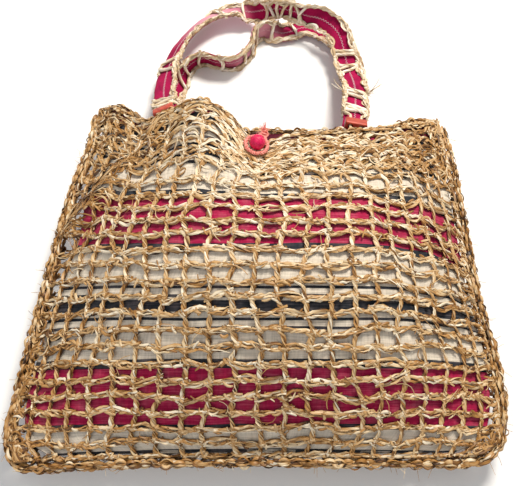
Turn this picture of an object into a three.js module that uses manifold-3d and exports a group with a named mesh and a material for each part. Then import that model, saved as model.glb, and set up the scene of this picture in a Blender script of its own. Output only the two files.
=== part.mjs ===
// A crochet bag that lies on its back on a flat surface: two panels of open raffia net joined by a
// crocheted chain, a striped cloth lining inside, two covered strap handles that lie behind the mouth,
// wooden beads at the feet of the front handle, and a ball with a cord loop that closes the mouth.
// Millimetres, +Z up. The bottom seam points to -Y, the mouth and the handles to +Y. Sizes are taken from
// the middle of the bottom seam, and the finished bag is moved so that its box stands on the origin.
import * as THREE from 'three';
import { mergeVertices } from 'three/addons/utils/BufferGeometryUtils.js';
import Module from 'manifold-3d';

const wasm = await Module();
wasm.setup();
const { clamp, lerp, smoothstep, degToRad, radToDeg } = THREE.MathUtils;

// Net: its meshes are cut at just under twice the crochet's own pitch
const NET_THICK = 3.0;
const NET_CELLS_ACROSS = 12;
const NET_CELLS_UP = 12;
const STRAND_WIDE = 5.0;
const PANEL_HALF = 185;
const PANEL_HIGH = 300;
const SEAM_PART = 2.2; // each panel's distance from the plane of the seam, where they meet
const SEAM_RADIUS = 3.5;
const SEAM_OUT = 4.9; // from the panels' edge to the middle of the chain
const SEAM_SIDES = 6;
const SEAM_STEPS = 76;

// Lining
const LINING_THICK = 1.4;
const LINING_CLEAR = 1.6;
const LINING_TOP = 1.011; // its lip stands a little past the net
const LINING_BOTTOM = 0.02;
const LINING_NARROW = 0.02; // least share of the width between its edge and the next line of points

// Form of the filled bag
const SPREAD = 0.12; // meshes crowd together towards the sides
const CROWN_POWER = 2.2;
const FLANGE_POWER = 1.1;
const BACK_FLAT = 0.55; // share of the half width that lies flat on the surface
const MOUTH_POWER = 1.95; // fullness of the mouth's edge between the ball and the corners

// Handles: a cloth strap and the crocheted ladder on its face
const STRAP_WIDE = 23;
const STRAP_THICK = 2.4;
const STRAP_TUCK = 0.92; // height up the panel at which a strap's end is sewn in
const STRAP_EXIT = 1.018; // and at which it leaves the panel, past the lining's lip
const FOOT_EASE = 0.5; // share of the panel's slope that a strap's foot takes up
const COVER_THICK = 2.4;
const COVER_CLEAR = 1.0;
const COVER_BAR = 2.6;
const COVER_OVERHANG = 1.2;
const WINDOWS = 18;
const WINDOW_STEPS = 4;
const RUNG_WIDE = 4.0;
const LADDER_START = 9; // from the strap's exit to the ladder's ends
const FOOT_LONG = 36; // from the mouth to the first rung
const FOOT_GATHER = 24; // the ladder's bars run close together through the bead up to here

// Beads at the feet of the front handle
const BEAD_WIDE = 20;
const BEAD_LONG = 9;
const BEAD_THICK = 8;
const BEAD_ROUND = 1.6;
const BEAD_HOLE_RADIUS = 2.5;
const BEAD_HOLE_APART = 10;
const BEAD_FROM_MOUTH = 10.5;
const BEAD_CLEAR = 0.8;

// Ball and loop
const BALL_RADIUS = 6.8;
const BALL_UP_PANEL = 0.957;
const BALL_RIGHT = -2;
const SEAT_CLEAR = 0.3;
const LOOP_RADIUS = 1.5;
const LOOP_CLEAR = 0.7; // from the net to the loop at its lowest
const LOOP_ROUND = 9.3; // from the ball's axis to the middle of the cord
const LOOP_RISE = 4; // height that the loop gains towards its knot
const LOOP_OPENING = 0.2; // share of a half turn round the ball at which the loop's legs leave it
const LEG_APART = 3;
const LEG_BEND = 0.75; // share of the way from the ball to the knot at which the legs come together
const KNOT_RADIUS = 3.2;
const KNOT_FROM_BALL = 14;
const KNOT_RIGHT = 4;
const KNOT_UP = 5;
const TUFT_STRANDS = 5;
const TUFT_LONG = 7;
const TUFT_UP = 4;
const TUFT_RADIUS = 0.8;

// Tail of the loop, from its knot down to the back edge: height up the panel, distance off the lining
const TAIL = [
  { t: 0.985, off: 4 },
  { t: 0.95, off: 0 },
];

// Middle line of the front panel, from the bottom seam (t = 0) to the mouth (t = 1)
const FRONT_CROWN = [
  { t: 0.00, y: 3, z: 28 },
  { t: 0.13, y: 28, z: 55 },
  { t: 0.30, y: 68, z: 85 },
  { t: 0.48, y: 113, z: 106 },
  { t: 0.65, y: 162, z: 109 },
  { t: 0.78, y: 196, z: 101 },
  { t: 0.91, y: 226, z: 92 },
  { t: 1.00, y: 244, z: 86 },
];

// Middle line of the back panel: down from the seam, flat on the surface, up again to the mouth
const BACK_CROWN = [
  { t: 0.00, y: 3, z: 25.8 },
  { t: 0.05, y: 9, z: 12 },
  { t: 0.12, y: 26, z: 3 },
  { t: 0.18, y: 46, z: NET_THICK / 2 },
  { t: 0.67, y: 200, z: NET_THICK / 2 },
  { t: 0.74, y: 222, z: 3 },
  { t: 0.86, y: 262, z: 13 },
  { t: 1.00, y: 308, z: 33 },
];

// Side seams: half widths to the left and right, place along the bag, how far each flank has sagged
// towards the bottom, height, and the lining's share of the width
const SIDES = [
  { t: 0.00, left: 181, right: 172, y: -2, sagLeft: 0, sagRight: -6, z: 28, lining: 0.77 },
  { t: 0.07, left: 187, right: 184, y: 18, sagLeft: 0, sagRight: 0, z: 29, lining: 0.89 },
  { t: 0.25, left: 182, right: 188, y: 74, sagLeft: 6, sagRight: 7, z: 32, lining: 0.93 },
  { t: 0.50, left: 174, right: 181, y: 158, sagLeft: 7, sagRight: 27, z: 35, lining: 0.935 },
  { t: 0.75, left: 164, right: 179, y: 240, sagLeft: 2, sagRight: 33, z: 36, lining: 0.935 },
  { t: 0.87, left: 154, right: 178, y: 276, sagLeft: 0, sagRight: 18, z: 36.5, lining: 0.93 },
  { t: 1.00, left: 151, right: 174, y: 311, sagLeft: 0, sagRight: 0, z: 37, lining: 0.92 },
];
const SAG = { from: 0.35, power: 1.3 };

// The mouth's edge is drawn in at the ball and pushed up left of it, and stands out as an ear near its
// left corner
const NOTCH = { share: 0.20, width: 0.11 };
const HUMP = { x: -50, width: 26, up: 17, out: 21, from: 0.70 };
const EAR = { share: 0.87, width: 0.18, out: 18, up: 6, from: 0.75 };

// Handle routes from the left foot to the right foot. tuckClear lies between a strap's sewn end and the
// lining's inner face. stand is the strap's turn about its length: 0 lies flat, 90 stands on edge with
// its face towards the inside of the arch.
const FRONT_HANDLE = {
  panel: 'front',
  leftFoot: -0.53,
  rightFoot: 0.475,
  tuckClear: 3.2,
  beaded: true,
  route: [
    { x: -92, y: 352, z: 41.5, stand: -16 },
    { x: -90, y: 402, z: 25, stand: -30 },
    { x: -79, y: 440, z: 19.5, stand: -36 },
    { x: -53, y: 477, z: 15, stand: -28 },
    { x: -24, y: 490, z: 13.6, stand: -18 },
    { x: -4, y: 488, z: 15, stand: 36 },
    { x: 15, y: 483, z: 25, stand: 90 },
    { x: 32, y: 478, z: 29, stand: 90 },
    { x: 52, y: 470, z: 28.5, stand: 80 },
    { x: 73, y: 459, z: 30, stand: 46 },
    { x: 88, y: 442, z: 27, stand: 26 },
    { x: 96, y: 404, z: 19, stand: 8 },
    { x: 97, y: 350, z: 42, stand: -6 },
  ],
};
const BACK_HANDLE = {
  panel: 'back',
  leftFoot: -0.51,
  rightFoot: 0.50,
  tuckClear: 2.2,
  beaded: false,
  route: [
    { x: -90, y: 350, z: 18.5, stand: 6 },
    { x: -86, y: 384, z: 9.8, stand: 40 },
    { x: -76, y: 407, z: 13.5, stand: 84 },
    { x: -66, y: 418, z: 13.5, stand: 98 },
    { x: -56, y: 421, z: 13.5, stand: 102 },
    { x: -45, y: 416, z: 13.5, stand: 102 },
    { x: -25, y: 415, z: 13.5, stand: 100 },
    { x: -9, y: 432, z: 13.5, stand: 92 },
    { x: -2, y: 457, z: 13, stand: 85 },
    { x: 9, y: 463, z: 13.5, stand: 86 },
    { x: 29, y: 465, z: 4.6, stand: 3 },
    { x: 54, y: 474, z: 4, stand: 0 },
    { x: 77, y: 465, z: 4, stand: 0 },
    { x: 96, y: 442, z: 4, stand: 2 },
    { x: 104, y: 402, z: 4.6, stand: 3 },
    { x: 101, y: 356, z: 18, stand: 0 },
  ],
};

const RAFFIA = { color: 0xd9bb84, roughness: 0.75, metalness: 0 };
const RAFFIA_SHADED = { color: 0xb9924f, roughness: 0.8, metalness: 0 };
const LINING_CLOTH = { color: 0xc9bba8, roughness: 0.9, metalness: 0 };
const CRIMSON_CLOTH = { color: 0xb51a48, roughness: 0.85, metalness: 0 };
const TERRACOTTA_WOOD = { color: 0xd0563a, roughness: 0.5, metalness: 0 };
const CRIMSON_YARN = { color: 0xc4123f, roughness: 0.85, metalness: 0 };
const SALMON_CORD = { color: 0xf08a7a, roughness: 0.8, metalness: 0 };

// Value of one column of a table at t, on a smooth curve through its rows and straight past the last one
function column(table, key, t) {
  let row = 0;
  while (row < table.length - 2 && t > table[row + 1].t) {
    row += 1;
  }
  const slopeAt = (index) => {
    const before = table[Math.max(index - 1, 0)];
    const after = table[Math.min(index + 1, table.length - 1)];
    return (after[key] - before[key]) / (after.t - before.t);
  };
  const start = table[row];
  const end = table[row + 1];
  if (t > end.t) {
    return end[key] + slopeAt(row + 1) * (t - end.t);
  }
  if (start[key] === end[key]) {
    return start[key];
  }
  const step = end.t - start.t;
  const s = (t - start.t) / step;
  const startPull = slopeAt(row) * step * (s ** 3 - 2 * s ** 2 + s);
  const endPull = slopeAt(row + 1) * step * (s ** 3 - s ** 2);
  return start[key] + (end[key] - start[key]) * (3 * s ** 2 - 2 * s ** 3) + startPull + endPull;
}

// Place in the seam plane for a share of the width u (-1 left, 1 right) and a height t up the panel
function seamPlace(u, t) {
  const share = u * (1 + SPREAD) - SPREAD * u ** 3;
  const across = Math.abs(share);
  const half = column(SIDES, share < 0 ? 'left' : 'right', t);
  const flank = Math.max(0, (across - SAG.from) / (1 - SAG.from)) ** SAG.power;
  const sag = flank * column(SIDES, share < 0 ? 'sagLeft' : 'sagRight', t);
  const ear = smoothstep(t, EAR.from, 1) * Math.exp(-(((share + EAR.share) / EAR.width) ** 2));
  return {
    across,
    x: share * half,
    y: column(SIDES, 'y', t) + EAR.out * ear - sag,
    z: column(SIDES, 'z', t) + EAR.up * ear,
  };
}

// Middle surface of the front panel
function frontMiddle(u, t) {
  const seam = seamPlace(u, t);
  const crown = Math.max(0, 1 - seam.across ** CROWN_POWER);
  const notch = NOTCH.share * Math.exp(-((seam.across / NOTCH.width) ** 2));
  const mouth = notch + (1 - NOTCH.share) * (1 - seam.across ** MOUTH_POWER);
  const nearMouth = smoothstep(t, HUMP.from, 1);
  const bow = lerp(crown, mouth, nearMouth);
  const hump = nearMouth * Math.exp(-(((seam.x - HUMP.x) / HUMP.width) ** 2) / 2);
  return new THREE.Vector3(
    seam.x,
    seam.y + (column(FRONT_CROWN, 'y', t) - seam.y) * bow + HUMP.out * hump,
    seam.z + (column(FRONT_CROWN, 'z', t) - seam.z) * crown ** FLANGE_POWER + HUMP.up * hump + SEAM_PART,
  );
}

// Middle surface of the back panel
function backMiddle(u, t) {
  const seam = seamPlace(u, t);
  const rise = smoothstep(seam.across, BACK_FLAT, 1);
  const bow = 1 - seam.across ** CROWN_POWER;
  return new THREE.Vector3(
    seam.x,
    seam.y + (column(BACK_CROWN, 'y', t) - seam.y) * bow,
    lerp(column(BACK_CROWN, 'z', t), seam.z - SEAM_PART, rise),
  );
}

// Direction out of the bag at a point of a panel
function panelNormal(panel, u, t) {
  const middle = panel === 'front' ? frontMiddle : backMiddle;
  const reach = 0.004;
  const across = middle(u + reach, t).sub(middle(u - reach, t));
  const up = middle(u, t + reach).sub(middle(u, Math.max(t - reach, 0)));
  return across.cross(up).normalize().multiplyScalar(panel === 'front' ? 1 : -1);
}

// Point at a distance outside (+) or inside (-) of a panel's middle surface
function panelPoint(panel, u, t, outside) {
  const middle = panel === 'front' ? frontMiddle(u, t) : backMiddle(u, t);
  return middle.addScaledVector(panelNormal(panel, u, t), outside);
}

function geometryFrom(points, faces) {
  const geometry = new THREE.BufferGeometry();
  geometry.setAttribute('position', new THREE.Float32BufferAttribute(points.flatMap((p) => p.toArray()), 3));
  geometry.setIndex(faces);
  geometry.computeVertexNormals();
  return geometry;
}

// Solid sheet on a grid of points, with an outer (0) and an inner (1) layer. Cells that isOpen names
// are holes, with walls round them.
function latticeGeometry(rows, columns, isOpen, place) {
  const points = [];
  const faces = [];
  for (let r = 0; r < rows; r += 1) {
    for (let c = 0; c < columns; c += 1) {
      points.push(place(r, c, 0), place(r, c, 1));
    }
  }
  const at = (r, c, layer) => (r * columns + c) * 2 + layer;
  const filled = (r, c) => r >= 0 && c >= 0 && r < rows - 1 && c < columns - 1 && !isOpen(r, c);
  const quad = (a, b, c, d) => faces.push(a, b, c, a, c, d);
  const wall = (r0, c0, r1, c1) => quad(at(r1, c1, 0), at(r0, c0, 0), at(r0, c0, 1), at(r1, c1, 1));
  for (let r = 0; r < rows - 1; r += 1) {
    for (let c = 0; c < columns - 1; c += 1) {
      if (!filled(r, c)) {
        continue;
      }
      quad(at(r, c, 0), at(r, c + 1, 0), at(r + 1, c + 1, 0), at(r + 1, c, 0));
      quad(at(r, c, 1), at(r + 1, c, 1), at(r + 1, c + 1, 1), at(r, c + 1, 1));
      if (!filled(r - 1, c)) {
        wall(r, c, r, c + 1);
      }
      if (!filled(r + 1, c)) {
        wall(r + 1, c + 1, r + 1, c);
      }
      if (!filled(r, c - 1)) {
        wall(r + 1, c, r, c);
      }
      if (!filled(r, c + 1)) {
        wall(r, c + 1, r + 1, c + 1);
      }
    }
  }
  return geometryFrom(points, faces);
}

// Both edges of each strand, for equal cells over a span from low to high
function strandLines(cells, low, high, wide) {
  const pitch = (high - low - wide) / cells;
  const lines = [];
  for (let strand = 0; strand <= cells; strand += 1) {
    lines.push(low + strand * pitch, low + strand * pitch + wide);
  }
  return lines;
}

const ACROSS_LINES = strandLines(NET_CELLS_ACROSS, -1, 1, STRAND_WIDE / PANEL_HALF);
const UP_LINES = strandLines(NET_CELLS_UP, 0, 1, STRAND_WIDE / PANEL_HIGH);

function netGeometry(panel) {
  const turn = panel === 'front' ? 1 : -1;
  return latticeGeometry(
    UP_LINES.length,
    ACROSS_LINES.length,
    (r, c) => r % 2 === 1 && c % 2 === 1,
    (r, c, layer) => panelPoint(panel, turn * ACROSS_LINES[c], UP_LINES[r], NET_THICK * (0.5 - layer)),
  );
}

// Middle of each strand between the outermost two
function innerStrands(lines) {
  const middles = [];
  for (let line = 2; line < lines.length - 2; line += 2) {
    middles.push((lines[line] + lines[line + 1]) / 2);
  }
  return middles;
}

// Pouch of the lining: rings of points round front and back, closed at the bottom and open at the mouth.
// Its points lie behind the middles of the net's strands.
function liningGeometry() {
  const points = [];
  const faces = [];
  const widths = innerStrands(ACROSS_LINES);
  const heights = innerStrands(UP_LINES);
  const sidePoints = widths.length + 2;
  const ring = 2 * sidePoints;
  const rings = heights.length + 2;
  for (let layer = 0; layer < 2; layer += 1) {
    const inside = -(NET_THICK / 2 + LINING_CLEAR + layer * LINING_THICK);
    const bottom = LINING_BOTTOM + layer * LINING_THICK / PANEL_HIGH;
    for (const t of [bottom, ...heights, LINING_TOP]) {
      const reach = column(SIDES, 'lining', t) - layer * LINING_THICK / PANEL_HALF;
      const most = reach - LINING_NARROW;
      const lines = [-reach, ...widths.map((u) => clamp(u, -most, most)), reach];
      lines.forEach((u) => points.push(panelPoint('front', u, t, inside)));
      lines.reverse().forEach((u) => points.push(panelPoint('back', u, t, inside)));
    }
  }
  const at = (r, c, layer) => (layer * rings + r) * ring + c % ring;
  const quad = (layer, a, b, c, d) => (layer ? faces.push(a, c, b, a, d, c) : faces.push(a, b, c, a, c, d));
  for (let layer = 0; layer < 2; layer += 1) {
    for (let r = 0; r < rings - 1; r += 1) {
      for (let c = 0; c < ring; c += 1) {
        quad(layer, at(r, c, layer), at(r, c + 1, layer), at(r + 1, c + 1, layer), at(r + 1, c, layer));
      }
    }
    for (let c = 0; c < sidePoints - 1; c += 1) {
      const across = ring - 1 - c;
      quad(layer, at(0, c + 1, layer), at(0, c, layer), at(0, across, layer), at(0, across - 1, layer));
    }
  }
  for (let c = 0; c < ring; c += 1) {
    quad(0, at(rings - 1, c, 0), at(rings - 1, c + 1, 0), at(rings - 1, c + 1, 1), at(rings - 1, c, 1));
  }
  return geometryFrom(points, faces);
}

// Round cord along a curve, with closed ends
function cordGeometry(points, radius, sides, steps) {
  const section = new THREE.Shape();
  for (let side = 0; side < sides; side += 1) {
    const angle = 2 * Math.PI * side / sides;
    section[side ? 'lineTo' : 'moveTo'](radius * Math.cos(angle), radius * Math.sin(angle));
  }
  const extrudePath = new THREE.CatmullRomCurve3(points, false, 'centripetal');
  return new THREE.ExtrudeGeometry(section, { steps, extrudePath, bevelEnabled: false });
}

// Joining chain: down the left side, along the bottom and up the right side, just outside both panels
function seamGeometry() {
  const between = (u, t) => frontMiddle(u, t).add(backMiddle(u, t)).multiplyScalar(0.5);
  const heights = UP_LINES.filter((line, index) => index % 2 === 1);
  const widths = ACROSS_LINES.filter((line, index) => index % 2 === 1 && line < 1);
  const edge = [
    ...heights.slice().reverse().map((t) => between(-1, t)),
    between(-1, 0),
    ...widths.map((u) => between(u, 0)),
    between(1, 0),
    ...heights.map((t) => between(1, t)),
  ];
  const path = edge.map((point, index) => {
    const before = edge[Math.max(index - 1, 0)];
    const after = edge[Math.min(index + 1, edge.length - 1)];
    const along = after.clone().sub(before).setZ(0).normalize();
    return point.clone().add(new THREE.Vector3(along.y, -along.x, 0).multiplyScalar(SEAM_OUT));
  });
  return cordGeometry(path, SEAM_RADIUS, SEAM_SIDES, SEAM_STEPS);
}

// Directions beside and above a strap that runs along a direction
function strapSides(along) {
  const right = along.clone().cross(new THREE.Vector3(0, 0, 1)).normalize();
  return { right, above: right.clone().cross(along) };
}

// Turn that lays a strap's foot on its panel
function footStand(panel, u, along) {
  const { right, above } = strapSides(along.normalize());
  const normal = panelNormal(panel, u, 1).multiplyScalar(panel === 'front' ? 1 : -1);
  return FOOT_EASE * radToDeg(Math.atan2(normal.dot(right), normal.dot(above)));
}

// Route of a handle's strap, with the lengths from its ends at which it leaves the mouth
function handleRoute(handle) {
  const inside = -(NET_THICK / 2 + LINING_CLEAR + LINING_THICK + handle.tuckClear + STRAP_THICK / 2);
  const foot = (u, t) => panelPoint(handle.panel, u, t, inside);
  const points = [
    foot(handle.leftFoot, STRAP_TUCK),
    foot(handle.leftFoot, STRAP_EXIT),
    ...handle.route.map((row) => new THREE.Vector3(row.x, row.y, row.z)),
    foot(handle.rightFoot, STRAP_EXIT),
    foot(handle.rightFoot, STRAP_TUCK),
  ];
  const left = footStand(handle.panel, handle.leftFoot, points[1].clone().sub(points[0]));
  const right = footStand(handle.panel, handle.rightFoot, points.at(-1).clone().sub(points.at(-2)));
  const stands = [left, left, ...handle.route.map((row) => row.stand), right, right];
  const curve = new THREE.CatmullRomCurve3(points, false, 'centripetal');
  const spans = points.length - 1;
  const perSpan = 40;
  curve.arcLengthDivisions = spans * perSpan;
  const lengths = curve.getLengths();
  const long = curve.getLength();
  const mouthLeft = lengths[perSpan];
  const mouthRight = long - lengths[perSpan * (spans - 1)];
  return { curve, stands, spans, long, mouthLeft, mouthRight };
}

// Place and directions of a strap at a length along its route
function strapFrame(route, length) {
  const share = clamp(length / route.long, 0, 1);
  const place = route.curve.getUtoTmapping(share) * route.spans;
  const row = Math.min(Math.floor(place), route.spans - 1);
  const stand = degToRad(lerp(route.stands[row], route.stands[row + 1], smoothstep(place - row, 0, 1)));
  const along = route.curve.getTangentAt(share);
  const { right, above } = strapSides(along);
  const face = above.multiplyScalar(Math.cos(stand)).addScaledVector(right, Math.sin(stand));
  const across = along.clone().cross(face);
  return { point: route.curve.getPointAt(share), along, face, across };
}

function strapPoint(frame, across, above) {
  return frame.point.clone().addScaledVector(frame.across, across).addScaledVector(frame.face, above);
}

// Lengths along a route at which the ladder has a section, and which of them start a rung
function ladderSections(route) {
  const first = route.mouthLeft + FOOT_LONG;
  const last = route.long - route.mouthRight - FOOT_LONG;
  const pitch = (last - first - RUNG_WIDE) / WINDOWS;
  const footSteps = 5;
  const sections = [];
  const step = (length, rung) => sections.push({ length, rung });
  for (let index = 0; index < footSteps; index += 1) {
    step(lerp(route.mouthLeft + LADDER_START, first, index / footSteps), false);
  }
  for (let rung = 0; rung <= WINDOWS; rung += 1) {
    const at = first + rung * pitch;
    step(at, true);
    const stepsAfter = rung < WINDOWS ? WINDOW_STEPS : footSteps + 1;
    const next = rung < WINDOWS ? at + pitch : route.long - route.mouthRight - LADDER_START;
    for (let index = 0; index < stepsAfter; index += 1) {
      const share = index / (rung < WINDOWS ? WINDOW_STEPS : footSteps);
      step(lerp(at + RUNG_WIDE, next, share), false);
    }
  }
  return sections;
}

function strapGeometry(route, sections) {
  const tucked = 3;
  const lengths = [];
  for (let index = 0; index < tucked; index += 1) {
    lengths.push(sections[0].length * index / tucked);
  }
  sections.forEach((section) => lengths.push(section.length));
  const last = sections[sections.length - 1].length;
  for (let index = 1; index <= tucked; index += 1) {
    lengths.push(lerp(last, route.long, index / tucked));
  }
  const frames = lengths.map((length) => strapFrame(route, length));
  const half = STRAP_WIDE / 2;
  return latticeGeometry(
    frames.length,
    2,
    () => false,
    (r, c, layer) => strapPoint(frames[r], c ? half : -half, STRAP_THICK * (0.5 - layer)),
  );
}

// Ladder on a strap's face: two bars and the rungs between them. Through a bead the bars run close
// together and higher, at the bead's two holes.
function coverGeometry(handle, route, sections) {
  const frames = sections.map((section) => strapFrame(route, section.length));
  const lying = STRAP_THICK / 2 + COVER_CLEAR + COVER_THICK / 2;
  const lifted = STRAP_THICK / 2 + BEAD_CLEAR + BEAD_THICK / 2;
  const place = (r, c, layer) => {
    const { length } = sections[r];
    const fromMouth = Math.min(length - route.mouthLeft, route.long - route.mouthRight - length);
    const gather = handle.beaded ? 1 - smoothstep(fromMouth, FOOT_GATHER, FOOT_LONG) : 0;
    const half = lerp(STRAP_WIDE / 2 + COVER_OVERHANG, (BEAD_HOLE_APART + COVER_BAR) / 2, gather);
    const above = lerp(lying, lifted, gather) + COVER_THICK * (0.5 - layer);
    const across = [-half, COVER_BAR - half, half - COVER_BAR, half][c];
    return strapPoint(frames[r], across, above);
  };
  return latticeGeometry(sections.length, 4, (r, c) => c === 1 && !sections[r].rung, place);
}

// Wooden block with two holes, through which the ladder's bars run
function beadMesh(name, route, length) {
  const outline = new THREE.Shape();
  const x = BEAD_WIDE / 2;
  const y = BEAD_THICK / 2;
  outline.moveTo(-x + BEAD_ROUND, -y);
  outline.lineTo(x - BEAD_ROUND, -y);
  outline.absarc(x - BEAD_ROUND, -y + BEAD_ROUND, BEAD_ROUND, -Math.PI / 2, 0);
  outline.lineTo(x, y - BEAD_ROUND);
  outline.absarc(x - BEAD_ROUND, y - BEAD_ROUND, BEAD_ROUND, 0, Math.PI / 2);
  outline.lineTo(-x + BEAD_ROUND, y);
  outline.absarc(-x + BEAD_ROUND, y - BEAD_ROUND, BEAD_ROUND, Math.PI / 2, Math.PI);
  outline.lineTo(-x, -y + BEAD_ROUND);
  outline.absarc(-x + BEAD_ROUND, -y + BEAD_ROUND, BEAD_ROUND, Math.PI, Math.PI * 1.5);
  for (const side of [-1, 1]) {
    const hole = new THREE.Path();
    hole.absarc(side * BEAD_HOLE_APART / 2, 0, BEAD_HOLE_RADIUS, 0, 2 * Math.PI, true);
    outline.holes.push(hole);
  }
  const extrusion = { depth: BEAD_LONG, bevelEnabled: false, curveSegments: 5 };
  const geometry = new THREE.ExtrudeGeometry(outline, extrusion);
  geometry.translate(0, 0, -BEAD_LONG / 2);
  const frame = strapFrame(route, length);
  const basis = new THREE.Matrix4().makeBasis(frame.across, frame.face, frame.along.clone().negate());
  const bead = meshOf(name, geometry, TERRACOTTA_WOOD);
  bead.position.copy(strapPoint(frame, 0, STRAP_THICK / 2 + BEAD_CLEAR + BEAD_THICK / 2));
  bead.quaternion.setFromRotationMatrix(basis);
  return bead;
}

// Places about the ball, which sits on the stem at the middle of the mouth: to the right,
// towards the mouth, and above the strand's outer face
function ballSeat() {
  const stem = ACROSS_LINES[NET_CELLS_ACROSS + 1];
  const left = frontMiddle(-stem, BALL_UP_PANEL);
  const right = frontMiddle(stem, BALL_UP_PANEL);
  const middle = left.clone().add(right).multiplyScalar(0.5);
  const across = right.clone().sub(left).normalize();
  const out = panelNormal('front', -stem, BALL_UP_PANEL).add(panelNormal('front', stem, BALL_UP_PANEL));
  const forward = out.clone().cross(across).normalize();
  out.copy(across).cross(forward);
  return (x, towardsMouth, above) => middle.clone()
    .addScaledVector(across, x + BALL_RIGHT)
    .addScaledVector(forward, towardsMouth)
    .addScaledVector(out, NET_THICK / 2 + above);
}

function ballMesh() {
  const ball = meshOf('button_ball', new THREE.SphereGeometry(BALL_RADIUS, 16, 10), CRIMSON_YARN);
  ball.position.copy(ballSeat()(0, 0, SEAT_CLEAR + BALL_RADIUS));
  return ball;
}

function solidOf(geometry) {
  const bare = geometry.clone();
  bare.deleteAttribute('normal');
  bare.deleteAttribute('uv');
  const merged = mergeVertices(bare, 1e-3);
  const vertProperties = new Float32Array(merged.attributes.position.array);
  const triVerts = new Uint32Array(merged.index.array);
  return new wasm.Manifold(new wasm.Mesh({ numProp: 3, vertProperties, triVerts }));
}

// Loop round the ball's foot, its knot, the tail to the back edge, and the frayed ends at the knot
function loopGeometry() {
  const at = ballSeat();
  const low = LOOP_CLEAR + LOOP_RADIUS;
  const leg = (side) => [
    at(KNOT_RIGHT + side * LEG_APART / 2, KNOT_FROM_BALL, low + KNOT_UP),
    at(KNOT_RIGHT / 2 + side * LEG_APART, KNOT_FROM_BALL * LEG_BEND, low + LOOP_RISE),
  ];
  const ringPoints = leg(1);
  const ringSteps = 8;
  for (let step = 0; step <= ringSteps; step += 1) {
    const angle = Math.PI * lerp(LOOP_OPENING, -1 - LOOP_OPENING, step / ringSteps);
    const height = low + LOOP_RISE * (1 + Math.sin(angle)) / 2;
    ringPoints.push(at(LOOP_ROUND * Math.cos(angle), LOOP_ROUND * Math.sin(angle), height));
  }
  ringPoints.push(...leg(-1).reverse());
  const knotAt = at(KNOT_RIGHT, KNOT_FROM_BALL, low + KNOT_UP);
  const onLining = -(NET_THICK / 2 + LINING_CLEAR + LINING_THICK + SEAT_CLEAR + LOOP_RADIUS);
  const tailPoints = [knotAt, ...TAIL.map((row) => panelPoint('back', 0, row.t, onLining - row.off))];
  const knot = new THREE.SphereGeometry(KNOT_RADIUS, 10, 7);
  knot.translate(knotAt.x, knotAt.y, knotAt.z);
  const pieces = [
    solidOf(cordGeometry(ringPoints, LOOP_RADIUS, 6, 30)),
    solidOf(knot),
    solidOf(cordGeometry(tailPoints, LOOP_RADIUS, 6, 10)),
  ];
  for (let strand = 0; strand < TUFT_STRANDS; strand += 1) {
    const fan = lerp(-1, 1, strand / (TUFT_STRANDS - 1));
    const forward = KNOT_FROM_BALL + TUFT_LONG * (0.9 - 0.5 * fan ** 2);
    const tip = at(KNOT_RIGHT + fan * TUFT_LONG * 0.7, forward, low + KNOT_UP + TUFT_UP * (1 + fan / 2));
    const middle = knotAt.clone().lerp(tip, 0.5);
    pieces.push(solidOf(cordGeometry([knotAt, middle, tip], TUFT_RADIUS, 4, 2)));
  }
  const joined = pieces.reduce((whole, piece) => whole.add(piece));
  const { vertProperties, triVerts } = joined.getMesh();
  const geometry = new THREE.BufferGeometry();
  geometry.setAttribute('position', new THREE.BufferAttribute(vertProperties, 3));
  geometry.setIndex(new THREE.BufferAttribute(triVerts, 1));
  geometry.computeVertexNormals();
  return geometry;
}

function meshOf(name, geometry, finish) {
  const mesh = new THREE.Mesh(geometry, new THREE.MeshStandardMaterial(finish));
  mesh.name = name;
  return mesh;
}

function handleMeshes(name, handle) {
  const route = handleRoute(handle);
  const sections = ladderSections(route);
  const meshes = [
    meshOf(`${name}_strap`, strapGeometry(route, sections), CRIMSON_CLOTH),
    meshOf(`${name}_cover`, coverGeometry(handle, route, sections), RAFFIA),
  ];
  if (handle.beaded) {
    meshes.push(
      beadMesh('bead_front_left', route, route.mouthLeft + BEAD_FROM_MOUTH),
      beadMesh('bead_front_right', route, route.long - route.mouthRight - BEAD_FROM_MOUTH),
    );
  }
  return meshes;
}

const bag = new THREE.Group();
bag.name = 'crochet_bag';
bag.add(
  meshOf('net_front', netGeometry('front'), RAFFIA),
  meshOf('net_back', netGeometry('back'), RAFFIA_SHADED),
  meshOf('net_seam', seamGeometry(), RAFFIA_SHADED),
  meshOf('lining', liningGeometry(), LINING_CLOTH),
  ...handleMeshes('handle_front', FRONT_HANDLE),
  ...handleMeshes('handle_back', BACK_HANDLE),
  ballMesh(),
  meshOf('button_loop', loopGeometry(), SALMON_CORD),
);
const box = new THREE.Box3().setFromObject(bag, true);
const foot = box.getCenter(new THREE.Vector3()).setZ(box.min.z);
bag.children.forEach((mesh) => mesh.position.sub(foot));

export default bag;
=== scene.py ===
"""A crochet raffia bag that lies on its back: open net over a striped cloth lining, strap handles worked
over with raffia, wooden beads, and a ball held by a cord loop. Shapes are worked out in millimetres from
the middle of the bottom seam, +Y to the mouth and +Z up, and become metres in the frame when a mesh is
made."""
import math

import bpy
import numpy as np
from mathutils import Matrix


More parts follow.
